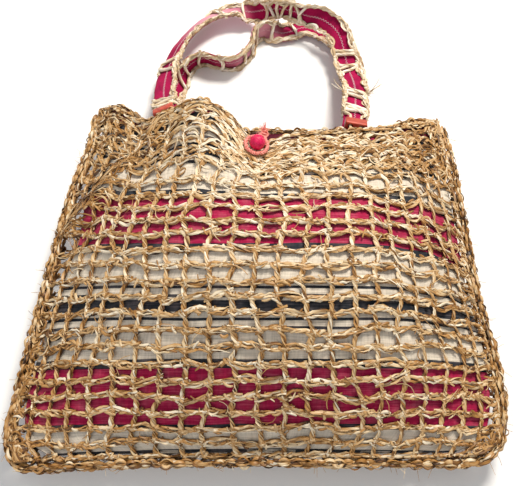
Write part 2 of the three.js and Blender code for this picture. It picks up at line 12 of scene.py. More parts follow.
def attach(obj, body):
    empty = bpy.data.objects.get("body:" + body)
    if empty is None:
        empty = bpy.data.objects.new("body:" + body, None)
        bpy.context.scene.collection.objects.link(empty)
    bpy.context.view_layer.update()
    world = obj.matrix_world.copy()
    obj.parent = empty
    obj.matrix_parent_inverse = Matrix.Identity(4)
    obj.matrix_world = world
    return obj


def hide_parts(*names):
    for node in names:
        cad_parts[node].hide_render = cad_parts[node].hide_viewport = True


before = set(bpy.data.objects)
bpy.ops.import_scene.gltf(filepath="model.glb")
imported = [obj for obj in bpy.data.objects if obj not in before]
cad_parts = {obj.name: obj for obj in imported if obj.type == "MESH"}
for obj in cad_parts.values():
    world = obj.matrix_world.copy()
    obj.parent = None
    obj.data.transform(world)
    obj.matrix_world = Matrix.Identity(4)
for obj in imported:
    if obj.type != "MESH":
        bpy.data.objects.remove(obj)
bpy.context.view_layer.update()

SEED = 11
rng = np.random.default_rng(SEED)

# Frame
METRE = 0.001
# From the bottom seam's middle to the middle of the bag's box
SEAM_TO_MIDDLE = np.array([0.80, 247.05, 0.0])
FLOOR_CLEAR = 0.15  # least height of a strip above the floor

# Net, at the crochet's own pitch: open rows up to a height on the panel, then tight rows up to the mouth
NET_COLUMNS = 22
OPEN_ROWS = 19
TIGHT_ROWS = 7
TIGHT_FROM = 0.822
BACK_ROWS = 24
PANEL_HALF = 185.0
PANEL_HIGH = 300.0
NET_THICK = 3.0
TIGHT_ARCH = 2.6  # rise of the bars between the stems under the mouth
BAR_OVERLAP = 0.12  # share of a mesh that a bar reaches past its stems
STEM_OVERLAP = 0.16  # and a post past its rows
PARTED_SHARE = 0.2  # share of the bars whose yarns part widely
CROSSED_SHARE = 0.3  # and of those whose yarns cross
FILL_STRIPS = 2000  # tries at a strip that fills the crowded part
FILL_FROM = 0.80  # height up the panel at which these strips begin
FILL_LOWER = 0.15  # and how much lower at the left
FOLD_STRIPS = 90
STRAY_STRIPS = 70
EDGE_KNOTS = ((-1, 100, 0.4), (1, 110, 0.98))  # side, number, and the height that they reach
CORNER_KNOTS = ((-1, 0.0, 120), (1, 0.0, 60), (-1, 1.0, 30), (1, 1.0, 40))  # side, height, number

# Strips of raffia
RIBBON_THICK = 0.6
CREASE_SHADE = (0.06, -0.03)  # painted highlight on a strip's crease and painted shade at its edges
STREAK_SHIFT = 400.0  # most that a strip's streaks are moved along it
STREAK_DEPTH = 0.6  # range of tone in its streaks
MEAN_TONE = 0.57
TONE_SPREAD = 0.19
TONE_LIMITS = (0.02, 0.98)
LOOSE_TONE_LIMITS = (0.03, 0.97)  # the same for picots and loose ends
DEEP_SHADE = 0.26  # painted shade: how much darker the strips are that lie deep in a yarn, and lighter those on its outside
SHADOW_STRIP_SHARE = 0.06  # share of strips painted much darker as painted shade, standing in for shadow lines among the strips
SHADOW_STRIP_DEPTH = 0.32  # and how much darker they are

# Chains and picots: stitches along the edges of the mouth and along the seam
SEAM_PART = 2.2  # each panel's distance from the plane of the seam
SEAM_OUT = 4.9  # from the panels' edge to the middle of the chain
RIM_CHAIN = dict(pitch=7.5, radius=1.3, bulge=1.2, directions=(80, 20), tone=0.6)
SEAM_CHAIN = dict(pitch=8.2, radius=1.2, bulge=1.7, directions=(85, 20, -50, -120), tone=0.44)
# Each rim's height up the panel, its distance outside the panel and the reach of its picots
RIMS = dict(front=dict(top=1.0, outside=0.4, reach=5.0), back=dict(top=1.014, outside=-2.2, reach=4.5))
RIM_HALF = 0.985  # share of the half width that a rim reaches
RIM_STEPS = 240
RIM_POINTS = 700
RIM_PICOT_PITCH = 7.0
SEAM_PICOTS = dict(pitch=10.0, reach=3.2)
SEAM_POINTS = 1600
SEAM_FRAY = 100  # points of the seam that share one group of loose ends

# Lining
LINING_CLEAR = 1.6
LINING_THICK = 0.7
LINING_TOP = 1.011
LINING_BOTTOM = 0.012
LINING_WIDER = 0.045  # the drawn pouch reaches further into the seam than the solid can
LINING_DRAWN_IN = dict(t=0.6, width=0.17, share=0.1)  # and is drawn in on the left flank
LINING_CLOSE = 0.4  # and lies closer to the net
LINING_CLOSEST = 0.2  # most of all along its edges
LINING_GRID = 120  # points across and up each face
BACK_LOWER = 0.024  # the back edge of the mouth lies lower between the handles
FACING_DEEP = 40.0  # depth of the crimson facing inside the mouth, which is painted darker there as painted shade

# Form of the filled bag
SPREAD = 0.12  # meshes crowd together towards the sides
CROWN_POWER = 2.2
FLANGE_POWER = 1.1
BACK_FLAT = 0.55  # share of the half width that lies flat on the surface
MOUTH_POWER = 1.95  # fullness of the mouth's edge between the ball and the corners

# Handles
STRAP_WIDE = 23.0
STRAP_THICK = 2.4
STRAP_TUCK = 0.92  # height up the panel at which a strap's end is sewn in
STRAP_EXIT = 1.018  # and at which it leaves the panel
STRAP_SECTIONS = 200
STRAP_CORNERS = 16
STRAP_EDGE_POWER = 0.45  # roundness of a strap's edges
STRAP_FACE_POWER = 0.7  # and fullness of its faces
STRAP_PAINTED_LIGHT = (170.0, 248.0, 296.0, 0.7)  # stretch of each strap painted paler as painted light: start, middle, end and strength
FOOT_EASE = 0.5  # share of the panel's slope that a strap's foot takes up
CAD_LINING_THICK = 1.4
ROUTE_STEPS = 40
STITCH_PITCH = 1.7
STITCH_SWING = 0.9
THREAD_WIDE = 0.5
THREAD_THICK = 0.4
CORD_STRIPS = 6
CORD_SECTIONS = 330
CORD_LAY = 15.0  # length of one turn of the twist
CORD_SLACK = 1.55
CORD_IN_BEAD = 0.75  # slack of the cord in a bead's hole
CORD_INSET = 0.6  # from the strap's edge to the middle of its cord
CORD_RISE = 1.0  # and from its face
SLIPPED_CORD = ((50.0, 112.0), (126.0, 218.0))  # where the front handle's outer cord lies behind it
SLIP_OVER = 10.0  # length in which it passes the strap's edge
SLIP_IN = 1.2  # how far inwards it has slipped
SLIP_DOWN = 4.4
OUTER_LOOPS = dict(pitch=8.0, reach=2.0)  # loops round the cords, away from the strap
INNER_LOOPS = dict(pitch=11.0, reach=3.6)  # and over its face
EDGE_LOOP_LIFT = 1.6
EDGE_LOOP_POINTS = 400
RUNG_STRIPS = 7
FRAYED_KNOT = 69.0  # place of the knot on the front handle's right leg, from the mouth
FRAYED_LIFT = 3.5
# Its loose ends on each side: place across the strap, then direction, length, number and width
FRAYED_ENDS = [
    (-11.0, dict(drift=(0.9, 0.3, 0.5), long=9.0, count=26, wide=0.9)),
    (-11.0, dict(drift=(3.0, 1.6, 0.5), long=24.0, count=4, wide=1.7)),
    (12.0, dict(drift=(-3.4, 1.0, 0.3), long=20.0, count=4, wide=1.5)),
]
FOOT_GATHER = 22.0  # the cords run close together through the bead up to here
FOOT_LONG = 34.0

# Beads
BEAD_WIDE = 20.0
BEAD_LONG = 9.0
BEAD_THICK = 8.0
BEAD_ROUND = 1.3
BEAD_HOLE_RADIUS = 2.5
BEAD_HOLE_APART = 10.0
BEAD_FROM_MOUTH = 10.5
BEAD_CLEAR = 0.8
BEAD_RISE = STRAP_THICK / 2 + BEAD_CLEAR + BEAD_THICK / 2

# Ball and loop
BALL_RADIUS = 6.8
BALL_SEGMENTS = 56
BALL_RINGS = 36
BALL_UP_PANEL = 0.957
BALL_RIGHT = -2.0
BALL_STEM = 0.0135  # half the width of the stem that carries it, as a share of the panel's half width
SEAT_CLEAR = 0.3
LOOP_RADIUS = 1.5
LOOP_CLEAR = 0.7  # from the net to the loop at its lowest
LOOP_ROUND = 9.3  # from the ball's axis to the middle of the cord
LOOP_RISE = 4.0  # height that the loop gains towards its knot
LOOP_OPENING = 0.2  # share of a half turn round the ball at which the loop's legs leave it
LEG_APART = 3.0
LEG_BEND = 0.75  # share of the way from the ball to the knot at which the legs come together
KNOT_FROM_BALL = 14.0
KNOT_RIGHT = 4.0
KNOT_UP = 5.0
KNOT_TURNS = 5
LOOP_YARN = dict(slack=0.8, wide=1.5)
TAIL_YARN = dict(slack=0.7, wide=1.4)
KNOT_TUFT = dict(drift=(-0.1, 1.5, 0.9), long=9.0, count=60, wide=0.8)
LOOP_FUZZ = dict(drift=(0.0, 0.1, 0.4), long=2.6, count=170, wide=0.4)
YARNS = 3
YARN_LAY = 6.5  # length of one turn of the yarns
TAIL = [dict(t=0.985, off=4.0), dict(t=0.95, off=0.0)]

# Camera: its place from the bottom seam's middle, its tilt below the horizon, and the photograph's frame
CAMERA_PLACE = np.array([0.0, -86.5, 540.4])
CAMERA_DOWN = 62.0
PHOTO_WIDE = 514
FOCAL_PIXELS = 650.0
SENSOR_WIDE = 36.0

# Stage, in metres and watts
FLOOR_WIDE = 6.0
PAPER_WHITE = "#F6F5F3"
LIGHTS = dict(
    key=dict(place=(0.42, 0.75, 1.32), aim=(0, -0.05, 0.05), size=0.5, energy=29.0, colour="#FFFAF2"),
    fill=dict(place=(-0.7, -0.9, 1.1), aim=(0, -0.1, 0.05), size=1.2, energy=4.5, colour="#F2F6FF"),
)
SKY_WHITE = "#FFFFFF"
SKY_STRENGTH = 0.42

# Middle line of the front panel, from the bottom seam (t = 0) to the mouth (t = 1)
FRONT_CROWN = [
    dict(t=0.00, y=3, z=28),
    dict(t=0.13, y=28, z=55),
    dict(t=0.30, y=68, z=85),
    dict(t=0.48, y=113, z=106),
    dict(t=0.65, y=162, z=109),
    dict(t=0.78, y=196, z=101),
    dict(t=0.91, y=226, z=92),
    dict(t=1.00, y=244, z=86),
]

# Middle line of the back panel: down from the seam, flat on the surface, up again to the mouth
BACK_CROWN = [
    dict(t=0.00, y=3, z=25.8),
    dict(t=0.05, y=9, z=12),
    dict(t=0.12, y=26, z=3),
    dict(t=0.18, y=46, z=1.5),
    dict(t=0.67, y=200, z=1.5),
    dict(t=0.74, y=222, z=3),
    dict(t=0.86, y=262, z=13),
    dict(t=1.00, y=308, z=33),
]

# Side seams: half widths, place along the bag, how far each flank has sagged towards the bottom, height,
# and the lining's share of the width
SIDES = [
    dict(t=0.00, left=181, right=172, y=-2, sag_left=0, sag_right=-6, z=28, lining=0.77),
    dict(t=0.07, left=187, right=184, y=18, sag_left=0, sag_right=0, z=29, lining=0.89),
    dict(t=0.25, left=182, right=188, y=74, sag_left=6, sag_right=7, z=32, lining=0.93),
    dict(t=0.50, left=174, right=181, y=158, sag_left=7, sag_right=27, z=35, lining=0.935),
    dict(t=0.75, left=164, right=179, y=240, sag_left=2, sag_right=33, z=36, lining=0.935),
    dict(t=0.87, left=154, right=178, y=276, sag_left=0, sag_right=18, z=36.5, lining=0.93),
    dict(t=1.00, left=151, right=174, y=311, sag_left=0, sag_right=0, z=37, lining=0.92),
]
SAG = dict(begin=0.35, power=1.3)

# The mouth's edge is drawn in at the ball and pushed up left of it, and stands out as an ear near its
# left corner
NOTCH = dict(share=0.20, width=0.11)
HUMP = dict(x=-50, width=26, up=17, out=21, begin=0.70)
EAR = dict(share=0.87, width=0.18, out=18, up=6, begin=0.75)

# Main creases of the front: from one place (u, t) to another, half width and height in millimetres. A
# ridge is positive and a trough negative.
LEFT_FOLD = dict(start=(-0.50, 0.99), end=(-0.97, 0.60), width=9, height=3.5)
CREASES = [
    LEFT_FOLD,
    dict(start=(-0.45, 0.93), end=(-0.93, 0.55), width=8, height=-2.2),
    dict(start=(-0.72, 1.00), end=(-0.62, 0.85), width=12, height=-2.5),
    dict(start=(0.62, 0.93), end=(0.86, 0.40), width=10, height=2.5),
    dict(start=(0.50, 0.80), end=(0.74, 0.35), width=10, height=-1.8),
    dict(start=(0.00, 1.00), end=(0.02, 0.85), width=10, height=-1.5),
]

# Handle routes from the left foot to the right foot; stand is the strap's turn about its length in
# degrees. rungs are the wrapped places, in millimetres from the left and from the right mouth.
FRONT_HANDLE = dict(
    panel="front",
    left_foot=-0.53,
    right_foot=0.475,
    tuck_clear=3.2,
    beaded=True,
    rungs_left=(27, 31, 36, 41, 112, 124, 224, 254, 278, 288, 296, 303, 311, 318, 327),
    rungs_right=(34, 39, 44, 61, 68, 75, 125, 131, 136, 152, 157),
    route=[
        dict(x=-92, y=352, z=41.5, stand=-16),
        dict(x=-90, y=402, z=25, stand=-30),
        dict(x=-79, y=440, z=19.5, stand=-36),
        dict(x=-53, y=477, z=15, stand=-28),
        dict(x=-24, y=490, z=13.6, stand=-18),
        dict(x=-4, y=488, z=15, stand=36),
        dict(x=15, y=483, z=25, stand=90),
        dict(x=32, y=478, z=29, stand=90),
        dict(x=52, y=470, z=28.5, stand=80),
        dict(x=73, y=459, z=30, stand=46),
        dict(x=88, y=442, z=27, stand=26),
        dict(x=96, y=404, z=19, stand=8),
        dict(x=97, y=350, z=42, stand=-6),
    ],
)
BACK_HANDLE = dict(
    panel="back",
    left_foot=-0.51,
    right_foot=0.50,
    tuck_clear=2.2,
    beaded=False,
    rungs_left=(30, 58, 92, 106, 128, 150, 178, 196, 214, 236, 262),
    rungs_right=(28, 50, 70, 96, 118, 142),
    route=[
        dict(x=-90, y=350, z=18.5, stand=6),
        dict(x=-86, y=384, z=9.8, stand=40),
        dict(x=-76, y=407, z=13.5, stand=84),
        dict(x=-66, y=418, z=13.5, stand=98),
        dict(x=-56, y=421, z=13.5, stand=102),
        dict(x=-45, y=416, z=13.5, stand=102),
        dict(x=-25, y=415, z=13.5, stand=100),
        dict(x=-9, y=432, z=13.5, stand=92),
        dict(x=-2, y=457, z=13, stand=85),
        dict(x=9, y=463, z=13.5, stand=86),
        dict(x=29, y=465, z=4.6, stand=3),
        dict(x=54, y=474, z=4, stand=0),
        dict(x=77, y=465, z=4, stand=0),
        dict(x=96, y=442, z=4, stand=2),
        dict(x=104, y=402, z=4.6, stand=3),
        dict(x=101, y=356, z=18, stand=0),
    ],
)


# Form of the bag

def smoothstep(value, low, high):
    share = np.clip((value - low) / (high - low), 0.0, 1.0)
    return share * share * (3.0 - 2.0 * share)


def lerp(start, end, share):
    return start + (end - start) * share


def bell(distance, width):
    return np.exp(-((distance / width) ** 2))


def unit(vectors):
    return vectors / np.maximum(np.linalg.norm(vectors, axis=-1, keepdims=True), 1e-9)


def lengths_along(path):
    """Length from the path's start to each of its points."""
    return np.concatenate([[0.0], np.cumsum(np.linalg.norm(np.diff(path, axis=0), axis=1))])


def smoothed(path, times):
    path = path.copy()
    for _ in range(times):
        path[1:-1] = (path[:-2] + 2 * path[1:-1] + path[2:]) / 4
    return path


def resampled(path, count):
    """The path at equal lengths, and those lengths."""
    length = lengths_along(path)
    spots = np.linspace(0, length[-1], count)
    return at_spots(path, length, spots), spots


def at_spots(values, spots, wanted):
    return np.stack([np.interp(wanted, spots, values[:, axis]) for axis in range(3)], axis=-1)


def column(table, key, t):
    """Value of a table's column at t, on a smooth curve through its rows and straight past the last one."""
    at = np.array([row["t"] for row in table])
    value = np.array([float(row[key]) for row in table])
    last = len(at) - 1
    before = np.maximum(np.arange(len(at)) - 1, 0)
    after = np.minimum(np.arange(len(at)) + 1, last)
    slope = (value[after] - value[before]) / (at[after] - at[before])
    row = np.clip(np.searchsorted(at, t) - 1, 0, last - 1)
    step = at[row + 1] - at[row]
    s = (np.minimum(t, at[last]) - at[row]) / step
    rise = (value[row + 1] - value[row]) * (3 * s**2 - 2 * s**3)
    pull = slope[row] * step * (s**3 - 2 * s**2 + s) + slope[row + 1] * step * (s**3 - s**2)
    flat = value[row + 1] == value[row]
    return value[row] + np.where(flat, 0.0, rise + pull) + slope[last] * np.maximum(t - at[last], 0.0)


def seam_place(u, t):
    """Place in the seam plane for a share of the width u (-1 left, 1 right) and a height t up the panel."""
    share = u * (1 + SPREAD) - SPREAD * u**3
    across = np.abs(share)
    half = np.where(share < 0, column(SIDES, "left", t), column(SIDES, "right", t))
    flank = np.maximum(0.0, (across - SAG["begin"]) / (1 - SAG["begin"])) ** SAG["power"]
    sag = flank * np.where(share < 0, column(SIDES, "sag_left", t), column(SIDES, "sag_right", t))
    ear = smoothstep(t, EAR["begin"], 1) * bell(share + EAR["share"], EAR["width"])
    y = column(SIDES, "y", t) + EAR["out"] * ear - sag
    z = column(SIDES, "z", t) + EAR["up"] * ear
    return across, share * half, y, z


def front_middle(u, t):
    across, x, y, z = seam_place(u, t)
    crown = np.maximum(0.0, 1 - across**CROWN_POWER)
    notch = NOTCH["share"] * bell(across, NOTCH["width"])
    mouth = notch + (1 - NOTCH["share"]) * (1 - across**MOUTH_POWER)
    near_mouth = smoothstep(t, HUMP["begin"], 1)
    bow = lerp(crown, mouth, near_mouth)
    hump = near_mouth * np.exp(-(((x - HUMP["x"]) / HUMP["width"]) ** 2) / 2)
    y_bowed = y + (column(FRONT_CROWN, "y", t) - y) * bow + HUMP["out"] * hump
    z_rise = (column(FRONT_CROWN, "z", t) - z) * crown**FLANGE_POWER
    return np.stack([x, y_bowed, z + z_rise + HUMP["up"] * hump + SEAM_PART], axis=-1)


def back_middle(u, t):
    across, x, y, z = seam_place(u, t)
    rise = smoothstep(across, BACK_FLAT, 1)
    bow = 1 - across**CROWN_POWER
    y_bowed = y + (column(BACK_CROWN, "y", t) - y) * bow
    return np.stack([x, y_bowed, lerp(column(BACK_CROWN, "z", t), z - SEAM_PART, rise)], axis=-1)


def panel_middle(panel, u, t):
    return front_middle(u, t) if panel == "front" else back_middle(u, t)


def panel_normal(panel, u, t):
    """Direction out of the bag at a point of a panel."""
    reach = 0.004
    across = panel_middle(panel, u + reach, t) - panel_middle(panel, u - reach, t)
    up = panel_middle(panel, u, t + reach) - panel_middle(panel, u, np.maximum(t - reach, 0))
    return unit(np.cross(across, up)) * (1 if panel == "front" else -1)


def relief(u, t):
    """Height of the creases on the front panel."""
    place = np.stack([u * PANEL_HALF, t * PANEL_HIGH], axis=-1)
    total = np.zeros(place.shape[:-1])
    for crease in CREASES:
        start = np.array(crease["start"]) * (PANEL_HALF, PANEL_HIGH)
        run = np.array(crease["end"]) * (PANEL_HALF, PANEL_HIGH) - start
        share = np.clip((place - start) @ run / (run @ run), 0.0, 1.0)
        away = np.linalg.norm(place - start - share[..., None] * run, axis=-1)
        total += crease["height"] * bell(away, crease["width"])
    return total


def panel_point(panel, u, t, outside):
    """Point at a distance outside (+) or inside (-) of a panel's middle surface."""
    u, t, outside = np.broadcast_arrays(np.asarray(u, float), np.asarray(t, float), outside)
    return panel_middle(panel, u, t) + panel_normal(panel, u, t) * outside[..., None]


def back_share(u):
    """Share of its height that the back panel reaches."""
    return 1 - BACK_LOWER * smoothstep(0.85 - np.abs(u), 0.0, 0.25)


def creased_point(panel, u, t, outside):
    """The same on the creased front, with the direction out of the bag."""
    u, t, outside = np.broadcast_arrays(np.asarray(u, float), np.asarray(t, float), outside)
    lifted = outside + relief(u, t) if panel == "front" else outside
    return panel_point(panel, u, t, lifted), panel_normal(panel, u, t)


# Materials

def linear(colour):
    """Linear colour of an sRGB hex value."""
    parts = [int(colour[i:i + 2], 16) / 255 for i in (1, 3, 5)]
    return tuple(c / 12.92 if c <= 0.04045 else ((c + 0.055) / 1.055) ** 2.4 for c in parts) + (1.0,)


class Look:
    """A new material. Each method adds a node to it and gives the node's output."""

    def __init__(self, name):
        self.material = bpy.data.materials.new(name)
        self.material.use_nodes = True
        self.tree = self.material.node_tree
        self.tree.nodes.clear()

    def add(self, kind, output, values=None, links=None, **settings):
        """A node with its settings, its input values and the outputs that its inputs are linked from."""
        node = self.tree.nodes.new("ShaderNode" + kind)
        for name, value in settings.items():
            setattr(node, name, value)
        for name, value in (values or {}).items():
            node.inputs[name].default_value = value
        for name, socket in (links or {}).items():
            self.tree.links.new(socket, node.inputs[name])
        return node.outputs[output] if output else None

    def uv(self, name):
        return self.add("UVMap", "UV", uv_map=name)

    def part(self, vector, axis):
        """One axis of a vector."""
        return self.add("SeparateXYZ", axis, None, {"Vector": vector})

    def noise(self, vector, detail, sizes=None, scale=1.0, roughness=0.5):
        """Noise in grains of the given sizes along each axis, or of one scale."""
        if sizes:
            grains = {"Scale": [1 / size for size in sizes]}
            vector = self.add("Mapping", "Vector", grains, {"Vector": vector})
        values = {"Scale": scale, "Detail": detail, "Roughness": roughness}
        return self.add("TexNoise", "Fac", values, {"Vector": vector})

    def calculate(self, operation, *terms, **settings):
        """Mathematics on outputs and numbers."""
        links = {at: term for at, term in enumerate(terms) if isinstance(term, bpy.types.NodeSocket)}
        values = {at: term for at, term in enumerate(terms) if at not in links}
        return self.add("Math", "Value", values, links, operation=operation, **settings)

    def ranged(self, value, low, high, to_low=0.0, to_high=1.0, **settings):
        limits = {"From Min": low, "From Max": high, "To Min": to_low, "To Max": to_high}
        return self.add("MapRange", "Result", limits, {"Value": value}, **settings)

    def ramp(self, value, stops, interpolation="LINEAR"):
        """Colour on a ramp through (place, sRGB hex) stops."""
        colour = self.add("ValToRGB", "Color", None, {"Fac": value})
        ramp = colour.node.color_ramp
        ramp.interpolation = interpolation
        while len(ramp.elements) < len(stops):
            ramp.elements.new(1.0)
        for element, (place, stop) in zip(ramp.elements, stops):
            element.position = place
            element.color = linear(stop)
        return colour

    def mixed(self, blend, **parts):
        """Two colours, A and B, mixed by a Factor."""
        links = {name: part for name, part in parts.items() if isinstance(part, bpy.types.NodeSocket)}
        values = {name: part for name, part in parts.items() if name not in links}
        return self.add("Mix", "Result", values, links, data_type="RGBA", blend_type=blend)

    def surface(self, values, links=None):
        """Gives the material its shader, with the given inputs."""
        shader = self.add("BsdfPrincipled", "BSDF", values, links)
        self.add("OutputMaterial", None, None, {"Surface": shader})
        return self.material

    def rough_surface(self, colour, height, values, strength, depth):
        """The same with a colour and with a bump from a height."""
        bump = self.add("Bump", "Normal", {"Strength": strength, "Distance": depth}, {"Height": height})
        return self.surface(values, {"Base Color": colour, "Normal": bump})


def raffia(name, stops):
    """Dried palm leaf split into flat strips: straw colours that change from strip to strip, fine streaks
    along each strip and a dry gloss on its flat side."""
    look = Look(name)
    # the tone attribute holds each strip's own lightness, with painted shade and painted light from its depth
    # and its crease
    tone = look.add("Attribute", "Fac", attribute_name="tone")
    # Streaks are drawn 0.8 mm apart across a strip and about 9 mm long, coarser than the leaf's own fibres
    streaks = look.noise(look.uv("strip"), 3.0, (9, 0.8, 1))
    shifted = look.calculate("MULTIPLY_ADD", streaks, STREAK_DEPTH, -STREAK_DEPTH / 2)
    colour = look.ramp(look.calculate("ADD", tone, shifted, use_clamp=True), stops)
    finish = {"Roughness": 0.45, "IOR": 1.48}
    return look.rough_surface(colour, streaks, finish, strength=0.6, depth=0.3 * METRE)


def striped_cotton(name):
    """Hand-loomed cotton with slubs: matt, in stripes across the bag, each uneven in its threads."""
    look = Look(name)
    uv = look.uv("cloth")
    # The stripes sway by up to 1.2 mm in waves of 45 mm
    sway = look.calculate("MULTIPLY_ADD", look.noise(uv, 1.0, scale=1 / 45), 2.4, -1.2)
    height = look.calculate("ADD", look.part(uv, "Y"), sway)
    stripes = look.ramp(look.calculate("DIVIDE", height, PANEL_HIGH), STRIPES, "CONSTANT")
    # Slubs are drawn 1.3 mm apart and 26 mm long, and upright threads 1.5 mm apart, coarser than the real
    # threads, so that they show
    slubs = look.noise(uv, 4.0, (26, 1.3, 1), roughness=0.6)
    upright = look.calculate("MULTIPLY_ADD", look.noise(uv, 3.0, (1.5, 18, 1)), 0.5, 0.25)
    threads = look.calculate("ADD", slubs, upright)
    shade = look.ranged(threads, 0.68, 1.32, 0.55, 1.4)
    # Faded patches are 12 mm broad
    patchy = look.calculate("MULTIPLY", slubs, look.noise(uv, 3.0, scale=1 / 12))
    lightening = look.ranged(patchy, 0.2, 0.42, 0.0, 0.15)
    pale = look.mixed("MIX", Factor=lightening, A=stripes, B=linear(FADED_BEIGE))
    worn = look.mixed("MULTIPLY", Factor=1.0, A=pale, B=shade)
    finish = {"Roughness": 0.9, "IOR": 1.45, "Specular IOR Level": 0.2, "Sheen Weight": 0.06}
    return look.rough_surface(worn, threads, finish, strength=0.5, depth=0.4 * METRE)


def woven_cotton(name, dark, light, lightening):
    """Plain dyed cotton strap: matt, with threads and patches of uneven dye, and painted light along one
    paler stretch.
    """
    look = Look(name)
    uv = look.uv("cloth")
    threads = look.noise(uv, 2.0, (1.2, 0.9, 1))
    uneven = look.ranged(look.calculate("ADD", look.noise(uv, 4.0, (18, 7, 1)), threads), 0.7, 1.3)
    dyed = look.ramp(uneven, [(0.0, dark), (1.0, light)])
    along = look.part(uv, "X")
    # painted light: each strap is paler along one stretch, where the light falls strongest
    low, middle, high, strength = STRAP_PAINTED_LIGHT
    rising = look.ranged(along, low, middle, interpolation_type="SMOOTHSTEP")
    falling = look.ranged(along, high, middle, 0.0, strength, interpolation_type="SMOOTHSTEP")
    paler = look.mixed("MIX", Factor=look.calculate("MULTIPLY", rising, falling), A=dyed, B=linear(lightening))
    finish = {"Roughness": 0.85, "IOR": 1.45, "Specular IOR Level": 0.2}
    return look.rough_surface(paler, threads, finish, strength=0.6, depth=0.4 * METRE)


def grained_finish(name, dark, light, grain, roughness, depth):
    """A finish whose colour runs between two tones in grains of the given length, breadth and height in
    millimetres, with a bump of that depth."""
    look = Look(name)
    grains = look.noise(look.add("TexCoord", "Object"), 5.0, [METRE * size for size in grain])
    colour = look.ramp(look.ranged(grains, 0.32, 0.68), [(0.0, dark), (1.0, light)])
    finish = {"Roughness": roughness, "IOR": 1.48}
    return look.rough_surface(colour, grains, finish, strength=0.5, depth=depth * METRE)


# Stripes of the lining, from the bottom seam up: share of the panel's height at which each colour begins,
# in steps of 1/256, the finest that a colour ramp holds
BEIGE = "#DCD0BC"
FADED_BEIGE = "#CBB2AE"
CRIMSON = "#A61644"
# painted shade: the crimson of the lip and of the facing inside the mouth, darkened where shade falls
CRIMSON_PAINTED_SHADE = "#6A1230"
CHARCOAL = "#262B31"
STRIPE_STEPS = [
    (0, BEIGE), (3, CHARCOAL), (4, BEIGE), (20, CHARCOAL), (24, CRIMSON), (63, CHARCOAL),
    (69, BEIGE), (89, CHARCOAL), (91, BEIGE), (95, CHARCOAL), (97, BEIGE), (101, CHARCOAL),
    (109, BEIGE), (111, CHARCOAL), (113, BEIGE), (117, CHARCOAL), (119, BEIGE), (143, CHARCOAL),
    (149, CRIMSON), (188, CHARCOAL), (194, BEIGE), (211, CHARCOAL), (213, BEIGE), (216, CHARCOAL),
    (218, BEIGE), (222, CHARCOAL), (224, BEIGE), (227, CHARCOAL), (229, BEIGE), (238, CHARCOAL),
    # the last stop is the painted shade at the lip and inside the mouth
    (247, CRIMSON), (254, CRIMSON_PAINTED_SHADE),
]
STRIPES = [(step / 256, colour) for step, colour in STRIPE_STEPS]
STRAW = [
    (0.0, "#311C09"), (0.2, "#72481A"), (0.42, "#AC7B3E"),
    (0.62, "#C7A06C"), (0.8, "#D9BF95"), (1.0, "#EADCC2"),
]
PALE_STRAW = [
    (0.0, "#4C331E"), (0.2, "#8E6B44"), (0.42, "#BFA076"),
    (0.62, "#D7BF9A"), (0.8, "#EADABF"), (1.0, "#F8F0E2"),
]

RAFFIA_NET = raffia("raffia_net", STRAW)
RAFFIA_HANDLE = raffia("raffia_handle", PALE_STRAW)
LINING_COTTON = striped_cotton("striped_cotton")
# its last colour is the painted light along a stretch of each strap
STRAP_COTTON = woven_cotton("crimson_cotton", "#7E0536", "#B40B4D", "#E9B3BE")
STITCH_THREAD = grained_finish("white_cotton_thread", "#C88C9A", "#EFD2D4", (2, 2, 2), 0.8, 0.1)
PAINTED_WOOD = grained_finish("terracotta_wood", "#8E2A1E", "#CC563C", (9, 2.2, 2.2), 0.45, 0.15)
BALL_FELT = grained_finish("crimson_felt", "#C4033E", "#E20A5C", (1.6, 1.6, 1.6), 0.45, 0.06)
SALMON_YARN = grained_finish("salmon_yarn", "#E2766A", "#FAB0A2", (1.2, 1.2, 1.2), 0.8, 0.2)


# Meshes

def piece_from(name, points, face_groups, material, smooth_angle=40.0):
    """New object of a mesh given by points in millimetres from the bottom seam's middle, and by groups of
    faces with equal numbers of corners."""
    mesh = bpy.data.meshes.new(name)
    corners = np.concatenate([np.asarray(group).ravel() for group in face_groups])
    sizes = np.concatenate([np.full(len(group), np.asarray(group).shape[1]) for group in face_groups])
    places = (np.asarray(points) - SEAM_TO_MIDDLE) * METRE
    mesh.vertices.add(len(places))
    mesh.vertices.foreach_set("co", places.astype(np.float32).ravel())
    mesh.loops.add(len(corners))
    mesh.loops.foreach_set("vertex_index", corners.astype(np.int32))
    mesh.polygons.add(len(sizes))
    mesh.polygons.foreach_set("loop_start", (np.cumsum(sizes) - sizes).astype(np.int32))
    mesh.update(calc_edges=True)
    piece = bpy.data.objects.new(name, mesh)
    bpy.context.scene.collection.objects.link(piece)
    mesh.materials.append(material)
    bpy.ops.object.select_all(action="DESELECT")
    piece.select_set(True)
    bpy.context.view_layer.objects.active = piece
    bpy.ops.object.shade_smooth_by_angle(angle=math.radians(smooth_angle))
    return piece


def add_uv(piece, name, uv):
    layer = piece.data.uv_layers.new(name=name)
    layer.data.foreach_set("uv", np.asarray(uv, np.float32).ravel())


